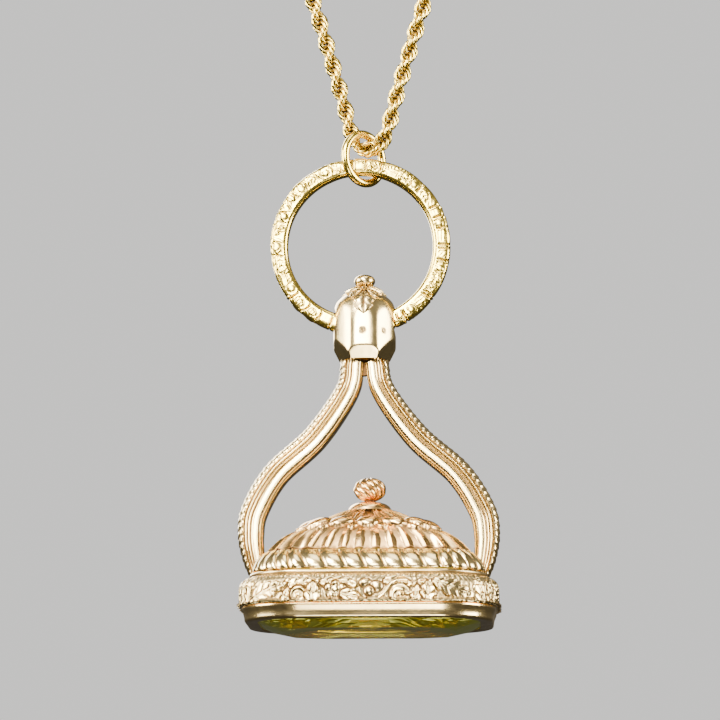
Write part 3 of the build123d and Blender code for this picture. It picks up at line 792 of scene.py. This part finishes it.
def knuckleSides(angle, height):
    # distance from the axis to the eight soft-edged sides, and to the flat cuts at the foot
    total = 0
    for side in range(8):
        facing = np.clip(np.cos(angle - side * pi / 4), 0, None)
        total = total + (facing / (knuckleSizes["width"] / 2)) ** knuckleSizes["edgeSharp"]
    nearest = total ** (-1 / knuckleSizes["edgeSharp"])
    total = nearest ** -float(knuckleSizes["cutSharp"])
    for turn, reach, slope in knuckleCuts:
        facing = np.clip(np.cos(angle - radians(turn)), 0, None)
        total = total + (facing / (reach + slope * height)) ** knuckleSizes["cutSharp"]
    return total ** (-1 / knuckleSizes["cutSharp"])


knuckleLine = smoothLine(knuckleDome, 240)
knuckleWay = wayAlong(knuckleLine)


def knucklePoint(angle, way, lift=0.0):
    # a point of the barrel's surface, way millimetres down over the dome, raised by lift
    radius = np.interp(way, knuckleWay, knuckleLine[:, 0])
    height = np.interp(way, knuckleWay, knuckleLine[:, 1])
    before, after = (np.interp(way + step, knuckleWay, knuckleLine[:, 1]) for step in (-0.1, 0.1))
    upward = domed((after - before) / 0.2)
    sides = knuckleSides(angle, height)
    sharp = knuckleSizes["domeSharp"]
    reach = (radius**-sharp + sides**-sharp) ** (-1 / sharp) + lift * np.sqrt(1 - upward**2)
    return polar(reach, angle, height + lift * upward)


def knuckleLeaf(turn, start, length, width, thick, lobes, rows=26, cols=15):
    # a leaf that lies on the barrel: lobed edges, a groove down its middle and veins, closed below
    s = np.linspace(0, 1, rows)[:, None]
    t = np.linspace(-1, 1, cols)[None, :]
    scallop = 0.72 + 0.28 * np.abs(np.sin(pi * (lobes * s + 0.1))) ** 0.7
    half = width / 2 * np.sin(pi * np.clip(s, 0.04, 0.99) ** 0.75) ** 0.75 * scallop
    crown = domed(t) ** 0.6
    veins = np.abs(np.sin(pi * (lobes * s - 0.5 * np.abs(t) + 0.1))) ** 0.5
    groove = bump(t, 0.13)
    top = thick * crown * (0.5 + 0.5 * veins) * (1 - 0.55 * groove)
    # tarnish in the middle groove and along the veins, and painted shade towards the edges and on the closed
    # underside, where the leaf meets the barrel
    tarnishAndShade = np.clip(0.9 * groove + 0.9 * (1 - veins) + 0.5 * (1 - crown), 0, 1)
    way = start + length * s + 0 * t
    reach = np.interp(way, knuckleWay, knuckleLine[:, 0])
    angle = turn + half * t / np.maximum(reach, 0.6)
    upper = knucklePoint(angle, way, top)
    lower = knucklePoint(angle, way, -0.15 + 0 * top)
    grid = np.concatenate([upper, lower[:, ::-1]], 1)
    shade = np.concatenate([tarnishAndShade, np.ones_like(tarnishAndShade)], 1)
    return gridPart(grid, roundCols=True, hollow=shade, capped=True)


def cutMesh(part, tool):
    # cuts a tool out of a part with a boolean and gives the plain result as a part
    body = makePiece("cutBody", [part], paleGold)
    cutter = makePiece("cutter", [tool], paleGold)
    cut = body.modifiers.new("cut", "BOOLEAN")
    cut.operation = "DIFFERENCE"
    cut.solver = "EXACT"
    cut.object = cutter
    mesh = plainMesh(body)
    for spare in (body, cutter):
        bpy.data.objects.remove(spare)
    points = np.array([vertex.co[:] for vertex in mesh.vertices]) / mm
    tarnishAndShade = np.zeros(len(points))
    if "hollow" in mesh.attributes:
        mesh.attributes["hollow"].data.foreach_get("value", tarnishAndShade)
    return points, [list(face.vertices) for face in mesh.polygons], tarnishAndShade


def makeKnuckle():
    low, high = boxOf("knuckle")
    middle = np.array([knuckleSizes["shift"], 0, low[2] + knuckleSizes["height"] / 2])
    angle = allRound(knuckleSizes["steps"])[None, :]
    way = np.linspace(knuckleWay[0], knuckleWay[-1], knuckleSizes["rows"])[:, None]
    height = np.interp(way, knuckleWay, knuckleLine[:, 1])
    across = (angle - 2 * pi) * knuckleSizes["faceReach"]
    knocks = sum(np.exp(-(((across - turn * knuckleSizes["faceReach"]) / size) ** 4)
                        - ((height - level) / size) ** 4) for turn, level, size in knuckleKnocks)
    grit = 0.6 + 0.4 * np.sin(angle * 62 + 2 * np.sin(height * 9)) * np.sin(height * 21 + np.sin(angle * 40))
    barrel = knucklePoint(angle, way, -0.09 * knocks * grit)
    # painted shade: the top of the barrel, under and between the cap's leaves, is darkened
    shade = np.maximum(1.4 * knocks * grit, 0.95 * smoothStep(-way, -2.3, -1.7))
    barrel = gridPart(barrel + middle, roundCols=True, hollow=shade, capped=True)
    bore = next(joint["pos_m"][2] for joint in frame["joints"] if joint["name"] == "fob_swing") / mm
    reach = 1.2 * knuckleSizes["width"]
    radius = knuckleSizes["boreRadius"]
    # painted shade: the bore's inside wall is darkened all over
    drill = layAlongX(turnedPart([(radius, -reach), (radius, reach)], 72, [1, 1]), middle[0], bore)
    parts = [cutMesh(barrel, drill)]
    # leaves spread from under the button in two rows, and a broad one hangs down the front and the back
    for directions, *shape in knuckleLeaves:
        parts += [moved(knuckleLeaf(radians(turn), *shape), middle) for turn in directions]
    top = low[2] + knuckleSizes["height"]
    radius, tall = knuckleSizes["buttonRadius"], knuckleSizes["buttonHeight"]
    neck = top + 0.15
    button = [(0.62, top - 0.1), (0.6, neck)]
    button += [(radius * cos(t) ** 0.8, neck + tall * (0.45 + 0.5 * sin(t)))
               for t in np.linspace(-1.1, 1.5, 24)]
    # painted shade: the stem under the button is darkened
    parts.append(moved(turnedPart(button, 56, [0.9, 0.8] + [0] * 24), (middle[0], 0, 0)))
    fit(makePiece("knuckle_barrel", parts, paleGold, 40), "fob", "pale_gold", "knuckle")


makeKnuckle()
print("knuckle made")

# Yoke: two reeded arms, with a band of running leaves on their outsides
yokeSizes = {
    "height": 23.54, "spread": 25.1, "width": 2.8, "depth": 2.8, "shift": -0.55,
    "leafPitch": 0.72, "leafRelief": 0.16, "steps": 240, "face": 46,
    "bridgeHalf": 1.3, "bridgeTall": 1.5, "bridgePoint": 0.18, "bridgeDepth": 0.9,
}
# Shares of half the spread and of the height down each arm, and of its width
armSections = [
    (0.102, 0.0, 0.9),
    (0.155, 0.136, 0.92),
    (0.43, 0.346, 1.0),
    (0.773, 0.514, 1.02),
    (0.961, 0.679, 1.04),
    (1.0, 0.79, 1.0),
    (0.98, 0.9, 0.85),
    (0.93, 1.0, 0.6),
]
# Reeded face: shares of the arm's width from inside to outside, and of half its depth
armFace = [
    (-0.5, 0.52), (-0.495, 0.7), (-0.47, 0.83), (-0.445, 0.84), (-0.42, 0.76), (-0.405, 0.76), (-0.37, 0.92),
    (-0.3, 0.985), (-0.2, 1.0), (-0.1, 0.985), (-0.04, 0.92), (-0.015, 0.78), (0.01, 0.78), (0.03, 0.9),
    (0.06, 0.94), (0.09, 0.9), (0.11, 0.78), (0.13, 0.78), (0.15, 0.88), (0.18, 0.92), (0.21, 0.87),
    (0.235, 0.74), (0.26, 0.73), (0.3, 0.84), (0.36, 0.82), (0.42, 0.7), (0.47, 0.52), (0.5, 0.3),
]


def armPart(side, topHeight):
    table = np.array([(side * spread * yokeSizes["spread"] / 2 + yokeSizes["shift"] * (1 - drop),
                       -drop * yokeSizes["height"], width) for spread, drop, width in armSections])
    line = smoothLine(table, yokeSizes["steps"])
    spots, widths = line[:, :2], line[:, 2]
    ahead = np.gradient(spots, axis=0)
    ahead /= np.linalg.norm(ahead, axis=1)[:, None]
    outward = np.stack([-ahead[:, 1], ahead[:, 0]], 1) * side
    way = wayAlong(spots)[:, None]
    over, deep = np.array(armFace).T
    across = np.concatenate([np.linspace(-0.5, 0.5, yokeSizes["face"]), [0.515, 0.515],
                             np.linspace(0.5, -0.5, yokeSizes["face"]), [-0.505, -0.505]])[None, :]
    count = yokeSizes["face"]
    fore = np.interp(across[0, :count], over, deep)
    fore = np.concatenate([fore, [0.12, -0.12], -fore[::-1], [-0.2, 0.2]])[None, :]
    # running leaves: lobes that lean along the arm, with a notch between
    band = smoothStep(across, 0.245, 0.29)
    lean = way / yokeSizes["leafPitch"] + 1.1 * np.abs(fore)
    lobe = np.abs(np.sin(pi * lean)) ** 0.6
    curl = 0.5 + 0.5 * np.cos(2 * pi * (2 * lean + 1.5 * across))
    raised = band * (0.75 * lobe + 0.25 * curl)
    lift = raised * yokeSizes["leafRelief"] - band * 0.1
    width = widths[:, None] * yokeSizes["width"] * 0.97
    depth = yokeSizes["depth"] / 2 * (0.86 + 0.14 * widths[:, None])
    reach = across * width + lift * np.clip(across * 2 - 0.1, 0, 1)
    front = fore * depth + np.sign(fore) * lift * 0.7
    x = spots[:, :1] + outward[:, :1] * reach
    z = spots[:, 1:] + outward[:, 1:] * reach + topHeight
    grid = np.stack([x, -front + 0 * x, z], -1)
    groove = sum(bump(across - spot, 0.021) for spot in (-0.412, -0.002, 0.12, 0.247))
    hollow = np.clip(groove + band * (0.75 - 1.0 * raised), 0, 1) + 0 * way
    return gridPart(grid, roundCols=True, hollow=hollow, capped=True)


def makeYoke():
    top = boxOf("yoke")[1][2] - 0.02
    parts = [armPart(side, top) for side in (-1, 1)]
    half, tall, point = yokeSizes["bridgeHalf"], yokeSizes["bridgeTall"], yokeSizes["bridgePoint"]
    bridge = [(-half, 0.0), (half, 0.0), (half, -0.35 * tall), (point, -tall), (-point, -tall),
              (-half, -0.35 * tall)]
    deep = yokeSizes["bridgeDepth"] / 2
    rows = [[(x + yokeSizes["shift"], y, z + top) for x, z in bridge] for y in (-deep, deep)]
    # painted shade: the bridge between the arms is darkened all over
    parts.append(gridPart(np.array(rows), roundCols=True, hollow=np.ones((2, 6)), capped=True))
    fit(makePiece("yoke_arms", parts, paleGold, 50), "fob", "pale_gold", "yoke")


makeYoke()
print("yoke made")

# Base: the same outline steps in from tier to tier
baseSizes = {"length": 27.5, "depth": 19.5, "corner": 6.6}
shoulder = boxOf("yoke")[0][2]


def tierPart(profile, count, lift=None, hollow=None):
    # a closed ring of (offset outward, height) carried round the base's outline, raised by lift
    spots, outs, _ = roundedOutline(baseSizes["length"], baseSizes["depth"], baseSizes["corner"], count)
    profile = np.asarray(profile, float)
    offset = np.broadcast_to(profile[:, 0], (count, len(profile)))
    height = np.broadcast_to(profile[:, 1], (count, len(profile)))
    if lift is not None:
        step = np.roll(profile, -1, 0) - np.roll(profile, 1, 0)
        after = np.roll(profile, -1, 0)
        sense = np.sign((profile[:, 0] * after[:, 1] - after[:, 0] * profile[:, 1]).sum())
        normal = sense * np.stack([step[:, 1], -step[:, 0]], 1)
        normal /= np.maximum(np.linalg.norm(normal, axis=1), 1e-6)[:, None]
        offset = offset + lift * normal[:, 0]
        height = height + lift * normal[:, 1]
    grid = np.concatenate([spots[:, None] + outs[:, None] * offset[..., None], height[..., None]], -1)
    return gridPart(grid, roundRows=True, roundCols=True, hollow=hollow)


def baseLength():
    return roundedOutline(baseSizes["length"], baseSizes["depth"], baseSizes["corner"], 8)[2]


# Gadroons: slanted lobes between the fillet and the dome
gadroon = {"height": 2.24, "step": 1.5, "inset": 1.42, "count": 40, "bulge": 0.34, "slant": 0.45,
           "fillet": 0.45, "filletProud": 0.3, "wall": 1.0, "steps": 1080, "rows": 24}


def makeGadroons():
    foot = shoulder + gadroon["fillet"]
    rise = np.linspace(0, 1, gadroon["rows"])
    outer = np.stack([-gadroon["step"] - gadroon["inset"] * (1 - np.cos(rise * pi / 2)),
                      foot + gadroon["height"] * (0.5 * rise + 0.5 * np.sin(rise * pi / 2))], 1)
    inner = outer[::-6] - (gadroon["wall"], 0)
    profile = np.vstack([outer, inner])
    way = np.arange(gadroon["steps"])[:, None] / gadroon["steps"]

    def outside(values):  # a value for each row of the outside, and 0 on the inside
        return np.concatenate([values, np.zeros(len(inner))])[None, :]

    lean = outside(rise + 0.1 * np.sin(pi * rise))
    phase = (way * gadroon["count"] + gadroon["slant"] * lean) % 1
    lobe = domed(2 * phase - 1)
    shown = outside(np.ones(len(outer)))
    ends = outside(smoothStep(rise, -0.12, 0.16) * smoothStep(1.04 - rise, 0, 0.14))
    flush = outside(smoothStep(1 - rise, 0, 0.1))
    lift = gadroon["bulge"] * (lobe * ends - 0.8 * flush) * shown
    hollow = np.clip(0.9 - 2.6 * lobe, 0, 1) * shown
    fit(makePiece("gadroon_band", [tierPart(profile, gadroon["steps"], lift, hollow)], paleGold, 50),
        "fob", "pale_gold", "gallery")


makeGadroons()

# Foliate band: fillet, chased cove and a rounded band of leaves and scrolls
foliate = {"height": 3.28, "topRound": 1.2, "footRound": 0.5, "relief": 0.24, "steps": 1040, "rows": 68,
           "wall": 1.6, "coveUp": 2.0, "coveCuts": 0.5, "frondPitch": 0.62}
# Motifs of one half, from the middle of the left end round the front to the middle of the right end:
# millimetres from the middle of the front, and up from the band's middle, kind, size, turn, bend
foliateMotifs = [
    (-20.4, 0, "fan", 3, 90, 0), (-18.3, 0.1, "leaf", 3.9, 66, 0.2), (-16.9, -0.2, "leaf", 3, 80, 0),
    (-15.7, 0.1, "leaf", 3.3, 82, 0.1), (-14.5, 0, "leaf", 3.3, 80, -0.1), (-13.2, 0, "leaf", 3.1, 78, 0.1),
    (-6.7, 0.62, "leaf", 4.8, 6, -0.22), (-10.5, 0, "leaf", 5, 20, -0.15),
    (-8.3, -0.72, "leaf", 1.9, 82, 0), (-7, -0.62, "volute", 1.9, 40, 0),
    (-5.6, -0.3, "leaf", 2.5, 84, 0.1), (-2.7, 0.8, "leaf", 4.2, -6, -0.25),
    (-3.2, -0.1, "berries", 2.3, 0, 0), (-1.6, -0.75, "leaf", 2.3, -12, 0.1),
    (-0.1, 0.72, "boss", 1.2, 0, 0), (1.05, 0.25, "boss", 1.3, 0, 0), (0.3, -0.25, "boss", 1, 0, 0),
    (3.4, 0.78, "leaf", 3.2, -14, -0.1), (2.2, 0, "stem", 4.9, 24, 0.4),
    (3.5, -0.62, "volute", 2.2, 200, 0), (4.95, 0.2, "stem", 2.4, 42, 0.4), (5.85, 0.8, "volute", 1, 0, 0),
    (5.2, -0.5, "leaf", 1.9, 86, 0), (6.5, -0.1, "leaf", 2.6, 80, 0), (9.3, 0, "leaf", 5.3, -20, 0.12),
    (11.7, -0.4, "stem", 2.2, 58, 0.5), (12.5, 0.1, "leaf", 3.3, 102, 0.1),
    (13.8, 0, "leaf", 3.2, 84, -0.1), (15.1, 0, "leaf", 3.3, 80, 0.1), (16.6, 0.2, "leaf", 3.4, 100, -0.1),
    (18.4, -0.3, "volute", 2.2, 0, 0), (18.8, 0.8, "leaf", 2.7, -30, 0), (20.6, 0, "leaf", 3.4, 90, 0),
]


def makeFoliate():
    foot = shoulder - foliate["height"]
    top, low = foliate["topRound"], foliate["footRound"]
    edge = gadroon["filletProud"] - gadroon["step"]
    ledge = [(edge - 1.1, shoulder + gadroon["fillet"]), (edge - 0.14, shoulder + gadroon["fillet"]),
             (edge, shoulder + 0.72 * gadroon["fillet"]), (edge + 0.02, shoulder + 0.35 * gadroon["fillet"]),
             (edge - 0.08, shoulder + 0.05)]
    bends = [(-top * (1 - sin(t)), shoulder - top * (1 - cos(t))) for t in np.linspace(0.05, pi / 2, 24)]
    bends += [(0, foot + low)]
    bends += [(-low * (1 - cos(t)), foot + low * (1 - sin(t))) for t in np.linspace(0.1, pi / 2, 10)]
    outer = smoothLine(bends, foliate["rows"])
    inner = [(-foliate["wall"] - low, foot), (-foliate["wall"] - 1.6, shoulder)]
    profile = np.vstack([ledge, outer, inner])
    steps = foliate["steps"]
    whole = baseLength()
    way = (np.arange(steps)[:, None] / steps * whole + whole / 2) % whole - whole / 2
    gap = wayAlong(profile)
    first, last = len(ledge), len(ledge) + foliate["rows"]
    across = (gap[first:last].mean() + 0.25 - gap)[None, :]
    frontWay = np.where(way < -whole / 4, way + whole / 2, np.where(way > whole / 4, way - whole / 2, way))
    raised, outline = chase(frontWay, across, whole / 2, foliateMotifs)
    # a fine row of cuts in the cove above the leaves, and small fronds and stipple on the ground between them
    cove = softEdge(0.3 - np.abs(across - foliate["coveUp"]), 0.1)
    cove = cove * (0.3 + 0.1 * np.cos(2 * pi * way / foliate["coveCuts"]))
    stipple = np.sin(way * 17.0 + 3 * np.sin(across * 9)) * np.sin(across * 21.0 + 2 * np.sin(way * 7))
    below = (gap - gap[first])[None, :]
    above = (gap[last - 1] - gap)[None, :]
    shown = smoothStep(below, 0.02, 0.3) * smoothStep(above, 0.3, 0.65)
    shown = shown * (np.arange(len(profile)) >= first) * (np.arange(len(profile)) < last)
    ground = raised < 0.12
    frond = np.abs(np.sin(pi * (way / foliate["frondPitch"] + 0.5 * np.sin(1.9 * across + 0.9 * way))))
    height = np.maximum(raised, cove) + (0.1 + 0.4 * frond + 0.05 * stipple) * ground * (1 - outline)
    lift = ((height - 1.1) * shown - 0.5 * (1 - shown) * (above < 0.8) * (below > 1)) * foliate["relief"]
    hollow = shown * np.clip(0.4 * (1 - height) + (0.12 + 0.1 * stipple) * ground + 0.5 * outline, 0, 1)
    # painted shade: a dark line where the band meets the fillet under the gadroons
    hollow[:, first - 2:first + 2] = 0.7
    fit(makePiece("foliate_band", [tierPart(profile, steps, lift, hollow)], paleGold, 60),
        "fob", "pale_gold", "gallery")


makeFoliate()
print("base tiers made")


# Bezel: a hollowed rim, burnished over the stone's edge
bezelSizes = {"inset": 0.35, "hollow": 0.1, "lip": 1.75, "tuck": 0.3, "taper": 0.3, "steps": 480}


def makeBezel():
    lowest, highest = boxOf("bezel")
    top, foot = highest[2], lowest[2]
    inset, hollow = bezelSizes["inset"], bezelSizes["hollow"]
    outer = [(-inset - 0.1, top), (-inset, top - 0.08), (-inset, top - 0.16)]
    taper, tall = bezelSizes["taper"], top - foot - 0.45
    outer += [(-inset - taper * t**1.5 - hollow * sin(pi * t), top - 0.2 - tall * t)
              for t in np.linspace(0.05, 1, 12)]
    low = -inset - taper
    outer += [(low - 0.03, foot + 0.14), (low - 0.1, foot + 0.04), (low - 0.22, foot)]
    mouth = -inset - bezelSizes["lip"] + 0.03
    inner = [(mouth + 0.12, foot), (mouth + 0.02, foot + 0.05), (mouth, foot + 0.12),
             (mouth + bezelSizes["tuck"], foot + bezelSizes["tuck"] + 0.02),
             (mouth + bezelSizes["tuck"], top)]
    fit(makePiece("bezel_rim", [tierPart(outer + inner, bezelSizes["steps"])], paleGold, 50),
        "fob", "pale_gold", "bezel")


makeBezel()

# Citrine: a cushion cut, its table down and its pavilion up inside the case
citrineCut = {"tableShare": 0.76, "starShare": 0.88, "girdle": 0.35, "sides": 16}


def makeCitrine():
    low, high = boxOf("citrine")
    length, depth = high[0] - low[0], high[1] - low[1]
    corner = baseSizes["corner"] - bezelSizes["inset"] - bezelSizes["lip"] + bezelSizes["tuck"]
    table, girdle = low[2], boxOf("bezel")[0][2] + bezelSizes["tuck"]
    crown = girdle - table
    pavilion = high[2] - girdle
    # rings of corners: share of the outline, height, first of every fourth point of it, and times the sides
    levels = [
        (citrineCut["tableShare"], table, 2, 1), (citrineCut["starShare"], table + 0.36 * crown, 0, 1),
        (0.955, table + 0.7 * crown, 2, 1), (1.0, girdle, 2, 2), (1.0, girdle + citrineCut["girdle"], 2, 2),
        (0.8, girdle + 0.32 * pavilion, 0, 1), (0.52, girdle + 0.64 * pavilion, 2, 1),
        (0.22, girdle + 0.9 * pavilion, 0, 1), (0.04, high[2], 2, 1),
    ]
    shape = bmesh.new()
    for share, height, first, times in levels:
        spots, _, _ = roundedOutline(length, depth, corner, citrineCut["sides"] * times * 4)
        for x, y in spots[first::4]:
            shape.verts.new((x * share * mm, y * share * mm, height * mm))
    hull = bmesh.ops.convex_hull(shape, input=shape.verts)
    spare = {item for item in hull["geom_unused"] + hull["geom_interior"]
             if isinstance(item, bmesh.types.BMVert)}
    bmesh.ops.delete(shape, geom=list(spare), context="VERTS")
    bmesh.ops.dissolve_limit(shape, angle_limit=radians(1), verts=shape.verts, edges=shape.edges)
    bmesh.ops.recalc_face_normals(shape, faces=shape.faces)
    mesh = bpy.data.meshes.new("citrine_stone")
    shape.to_mesh(mesh)
    shape.free()
    mesh.materials.append(citrineStone)
    fit(addObject("citrine_stone", mesh), "fob", "citrine", "citrine")


makeCitrine()
print("bezel and stone made")

# Dome: flutes below, a ring of petals over small palmettes, leaves above them and a smooth cap
domeSizes = {
    "height": 5.6, "inset": 2.92, "flutes": 36, "fluteDepth": 0.36, "petals": 14, "petalRise": 0.56,
    "petalLong": 1.22, "petalTall": 0.85, "petalShare": 0.58, "leafShare": 0.41, "leafRise": 0.3,
    "steps": 868, "rows": 80, "capRadius": 2.2, "capHeight": 1.0,
}
domeSections = [(1.0, 0.0), (0.87, 0.25), (0.7, 0.43), (0.5, 0.585), (0.31, 0.745), (0.19, 0.83)]


def domeRing(share, count):
    length = baseSizes["length"] - 2 * domeSizes["inset"]
    depth = baseSizes["depth"] - 2 * domeSizes["inset"]
    corner = baseSizes["corner"] - domeSizes["inset"]
    narrow = share * (depth + 0.9 * (length - depth) * (1 - share))
    rounded = corner + (depth / 2 - corner) * min(1, 2 * (1 - share))
    return roundedOutline(share * length, narrow, min(0.49 * narrow, share * rounded), count)


def makeDome():
    foot = boxOf("dome")[0][2]
    tall = domeSizes["height"]
    line = smoothLine(domeSections, domeSizes["rows"])
    steps = domeSizes["steps"]

    def level(ringShare, rise):  # the points of a ring, and its length
        spots, _, length = domeRing(ringShare, steps)
        return np.concatenate([spots, np.full((steps, 1), foot + rise * tall)], 1), length

    rings = [level(*row) for row in line]
    grid = np.array([spots for spots, _ in rings])
    whole = np.array([length for _, length in rings])[:, None]
    around = np.roll(grid, -1, 1) - np.roll(grid, 1, 1)
    normal = np.cross(around, np.gradient(grid, axis=0))
    normal /= np.linalg.norm(normal, axis=2)[..., None]
    share = line[:, :1]
    rising = wayAlong(grid[:, 0])[:, None]
    way = np.arange(steps)[None, :] / steps

    def ringAt(ringShare, count, turn):
        # millimetres along and up from the middle of each of a ring's repeats
        rise = np.interp(-ringShare, -share[:, 0], rising[:, 0])
        return ((way * count + turn) % 1 - 0.5) * whole / count, rising - rise

    flute = (way * domeSizes["flutes"] + 0.5) % 1
    lower = smoothStep(share, domeSizes["petalShare"], domeSizes["petalShare"] + 0.09)
    dip = 1 - (2 * flute - 1) ** 2
    lift = -domeSizes["fluteDepth"] * dip * lower * np.sqrt(share)
    # tarnish in the flutes' channels, and painted shade: the lowest rows, where the dome meets the gadroons,
    # are darkened
    tarnishAndShade = 0.55 * dip**4 * lower * smoothStep(1.05 - share, 0, 0.3) + 0.9 * smoothStep(share, 0.975, 0.995)
    x, y = ringAt(domeSizes["petalShare"], domeSizes["petals"], 0.5)
    reach = np.hypot(x / domeSizes["petalLong"], y / domeSizes["petalTall"])
    petal = domed(reach)
    shadow = bump(reach - 1.12, 0.14)
    x, y = ringAt(domeSizes["petalShare"] + 0.05, domeSizes["petals"], 0.0)
    palmette = fanStamp(-y - 0.1, x, 1.5, 0)
    x, y = ringAt(domeSizes["leafShare"], domeSizes["petals"], 0.5)
    wide = 0.46 * whole / domeSizes["petals"]
    scoop = np.clip(1 - (x / wide) ** 2, 0, 1)
    rib = bump(x, 0.1)
    upper = smoothStep(domeSizes["petalShare"] - 0.07 - share, 0, 0.06)
    crest = bump(np.abs(x) - 0.75 * wide, 0.13)
    lift = lift + upper * domeSizes["leafRise"] * (0.75 * crest + 0.35 * rib - 0.5 * scoop)
    tarnishAndShade = tarnishAndShade + upper * (0.75 * np.clip(1 - 1.3 * crest - rib, 0, 1) * (0.3 + 0.7 * scoop))
    lift = np.where(petal > 0, np.maximum(lift, domeSizes["petalRise"] * petal), lift)
    lift = np.where((palmette > 0) & (petal == 0), np.maximum(lift, 0.3 * palmette - 0.1), lift)
    tarnishAndShade = np.where(petal > 0.1, 0, np.maximum(tarnishAndShade, 0.75 * shadow)) * (palmette < 0.5)
    outer = grid + normal * lift[..., None]
    # the smooth cap over the ornament, and the plain inside
    cap = [(1.06, -0.95), (1.03, -0.7), (0.95, -0.42), (0.8, -0.2), (0.6, -0.07), (0.35, 0.0), (0.05, 0.0)]
    angles = np.arctan2(outer[-1, :, 1], outer[-1, :, 0])
    capRows = [polar(domeSizes["capRadius"] * r, angles, foot + tall + z * domeSizes["capHeight"])
               for r, z in cap]
    inside = [level(*row)[0] for row in ((0.3, 0.7), (0.6, 0.5), (0.8, 0.25), (0.92, 0.0))]
    shell = np.concatenate([inside, outer, capRows], 0)
    # painted shade: the plain inside and the first cap row, where the cap meets the ornament, are darkened
    shade = np.concatenate([np.full((len(inside), steps), 0.6), tarnishAndShade, np.zeros((len(cap), steps))], 0)
    shade[len(inside) + len(outer)] = 0.8
    fit(makePiece("fluted_dome", [gridPart(shell, roundCols=True, hollow=shade, capped=True)], roseGold, 60),
        "fob", "rose_gold", "dome")


makeDome()


# Finial: a ball whose flutes wind from upper left to lower right
finialSizes = {"width": 3.3, "height": 2.5, "flutes": 9, "twist": 0.13, "bulge": 0.27, "neck": 0.62,
               "steps": 288, "rows": 60}


def makeFinial():
    low, high = boxOf("finial")
    middle = high[2] - finialSizes["height"] / 2
    level = np.linspace(-1.45, 1.5, finialSizes["rows"])[:, None]
    around = allRound(finialSizes["steps"])[None, :]
    phase = (around / (2 * pi) + finialSizes["twist"] * np.sin(level)) * finialSizes["flutes"]
    lobe = np.abs(np.sin(pi * phase)) ** 0.7
    fade = np.cos(level) ** 0.7
    radius = finialSizes["width"] / 2 * np.cos(level) + finialSizes["bulge"] * (lobe - 0.6) * fade
    tall = finialSizes["height"] / 2 * np.sin(level) + 0.1 * (lobe - 0.6) * np.sin(level)
    grid = polar(radius, around, middle + tall)
    hollow = np.clip(1.1 - 1.5 * lobe, 0.1, 1) * fade
    ball = gridPart(grid, roundCols=True, hollow=hollow, capped=True)
    # painted shade: the neck under the ball is darkened all over
    neck = turnedPart([(finialSizes["neck"], low[2]), (finialSizes["neck"], middle)], 32, [1, 1])
    fit(makePiece("spiral_finial", [ball, neck], roseGold, 60), "fob", "rose_gold", "finial")


makeFinial()
print("dome and finial made")
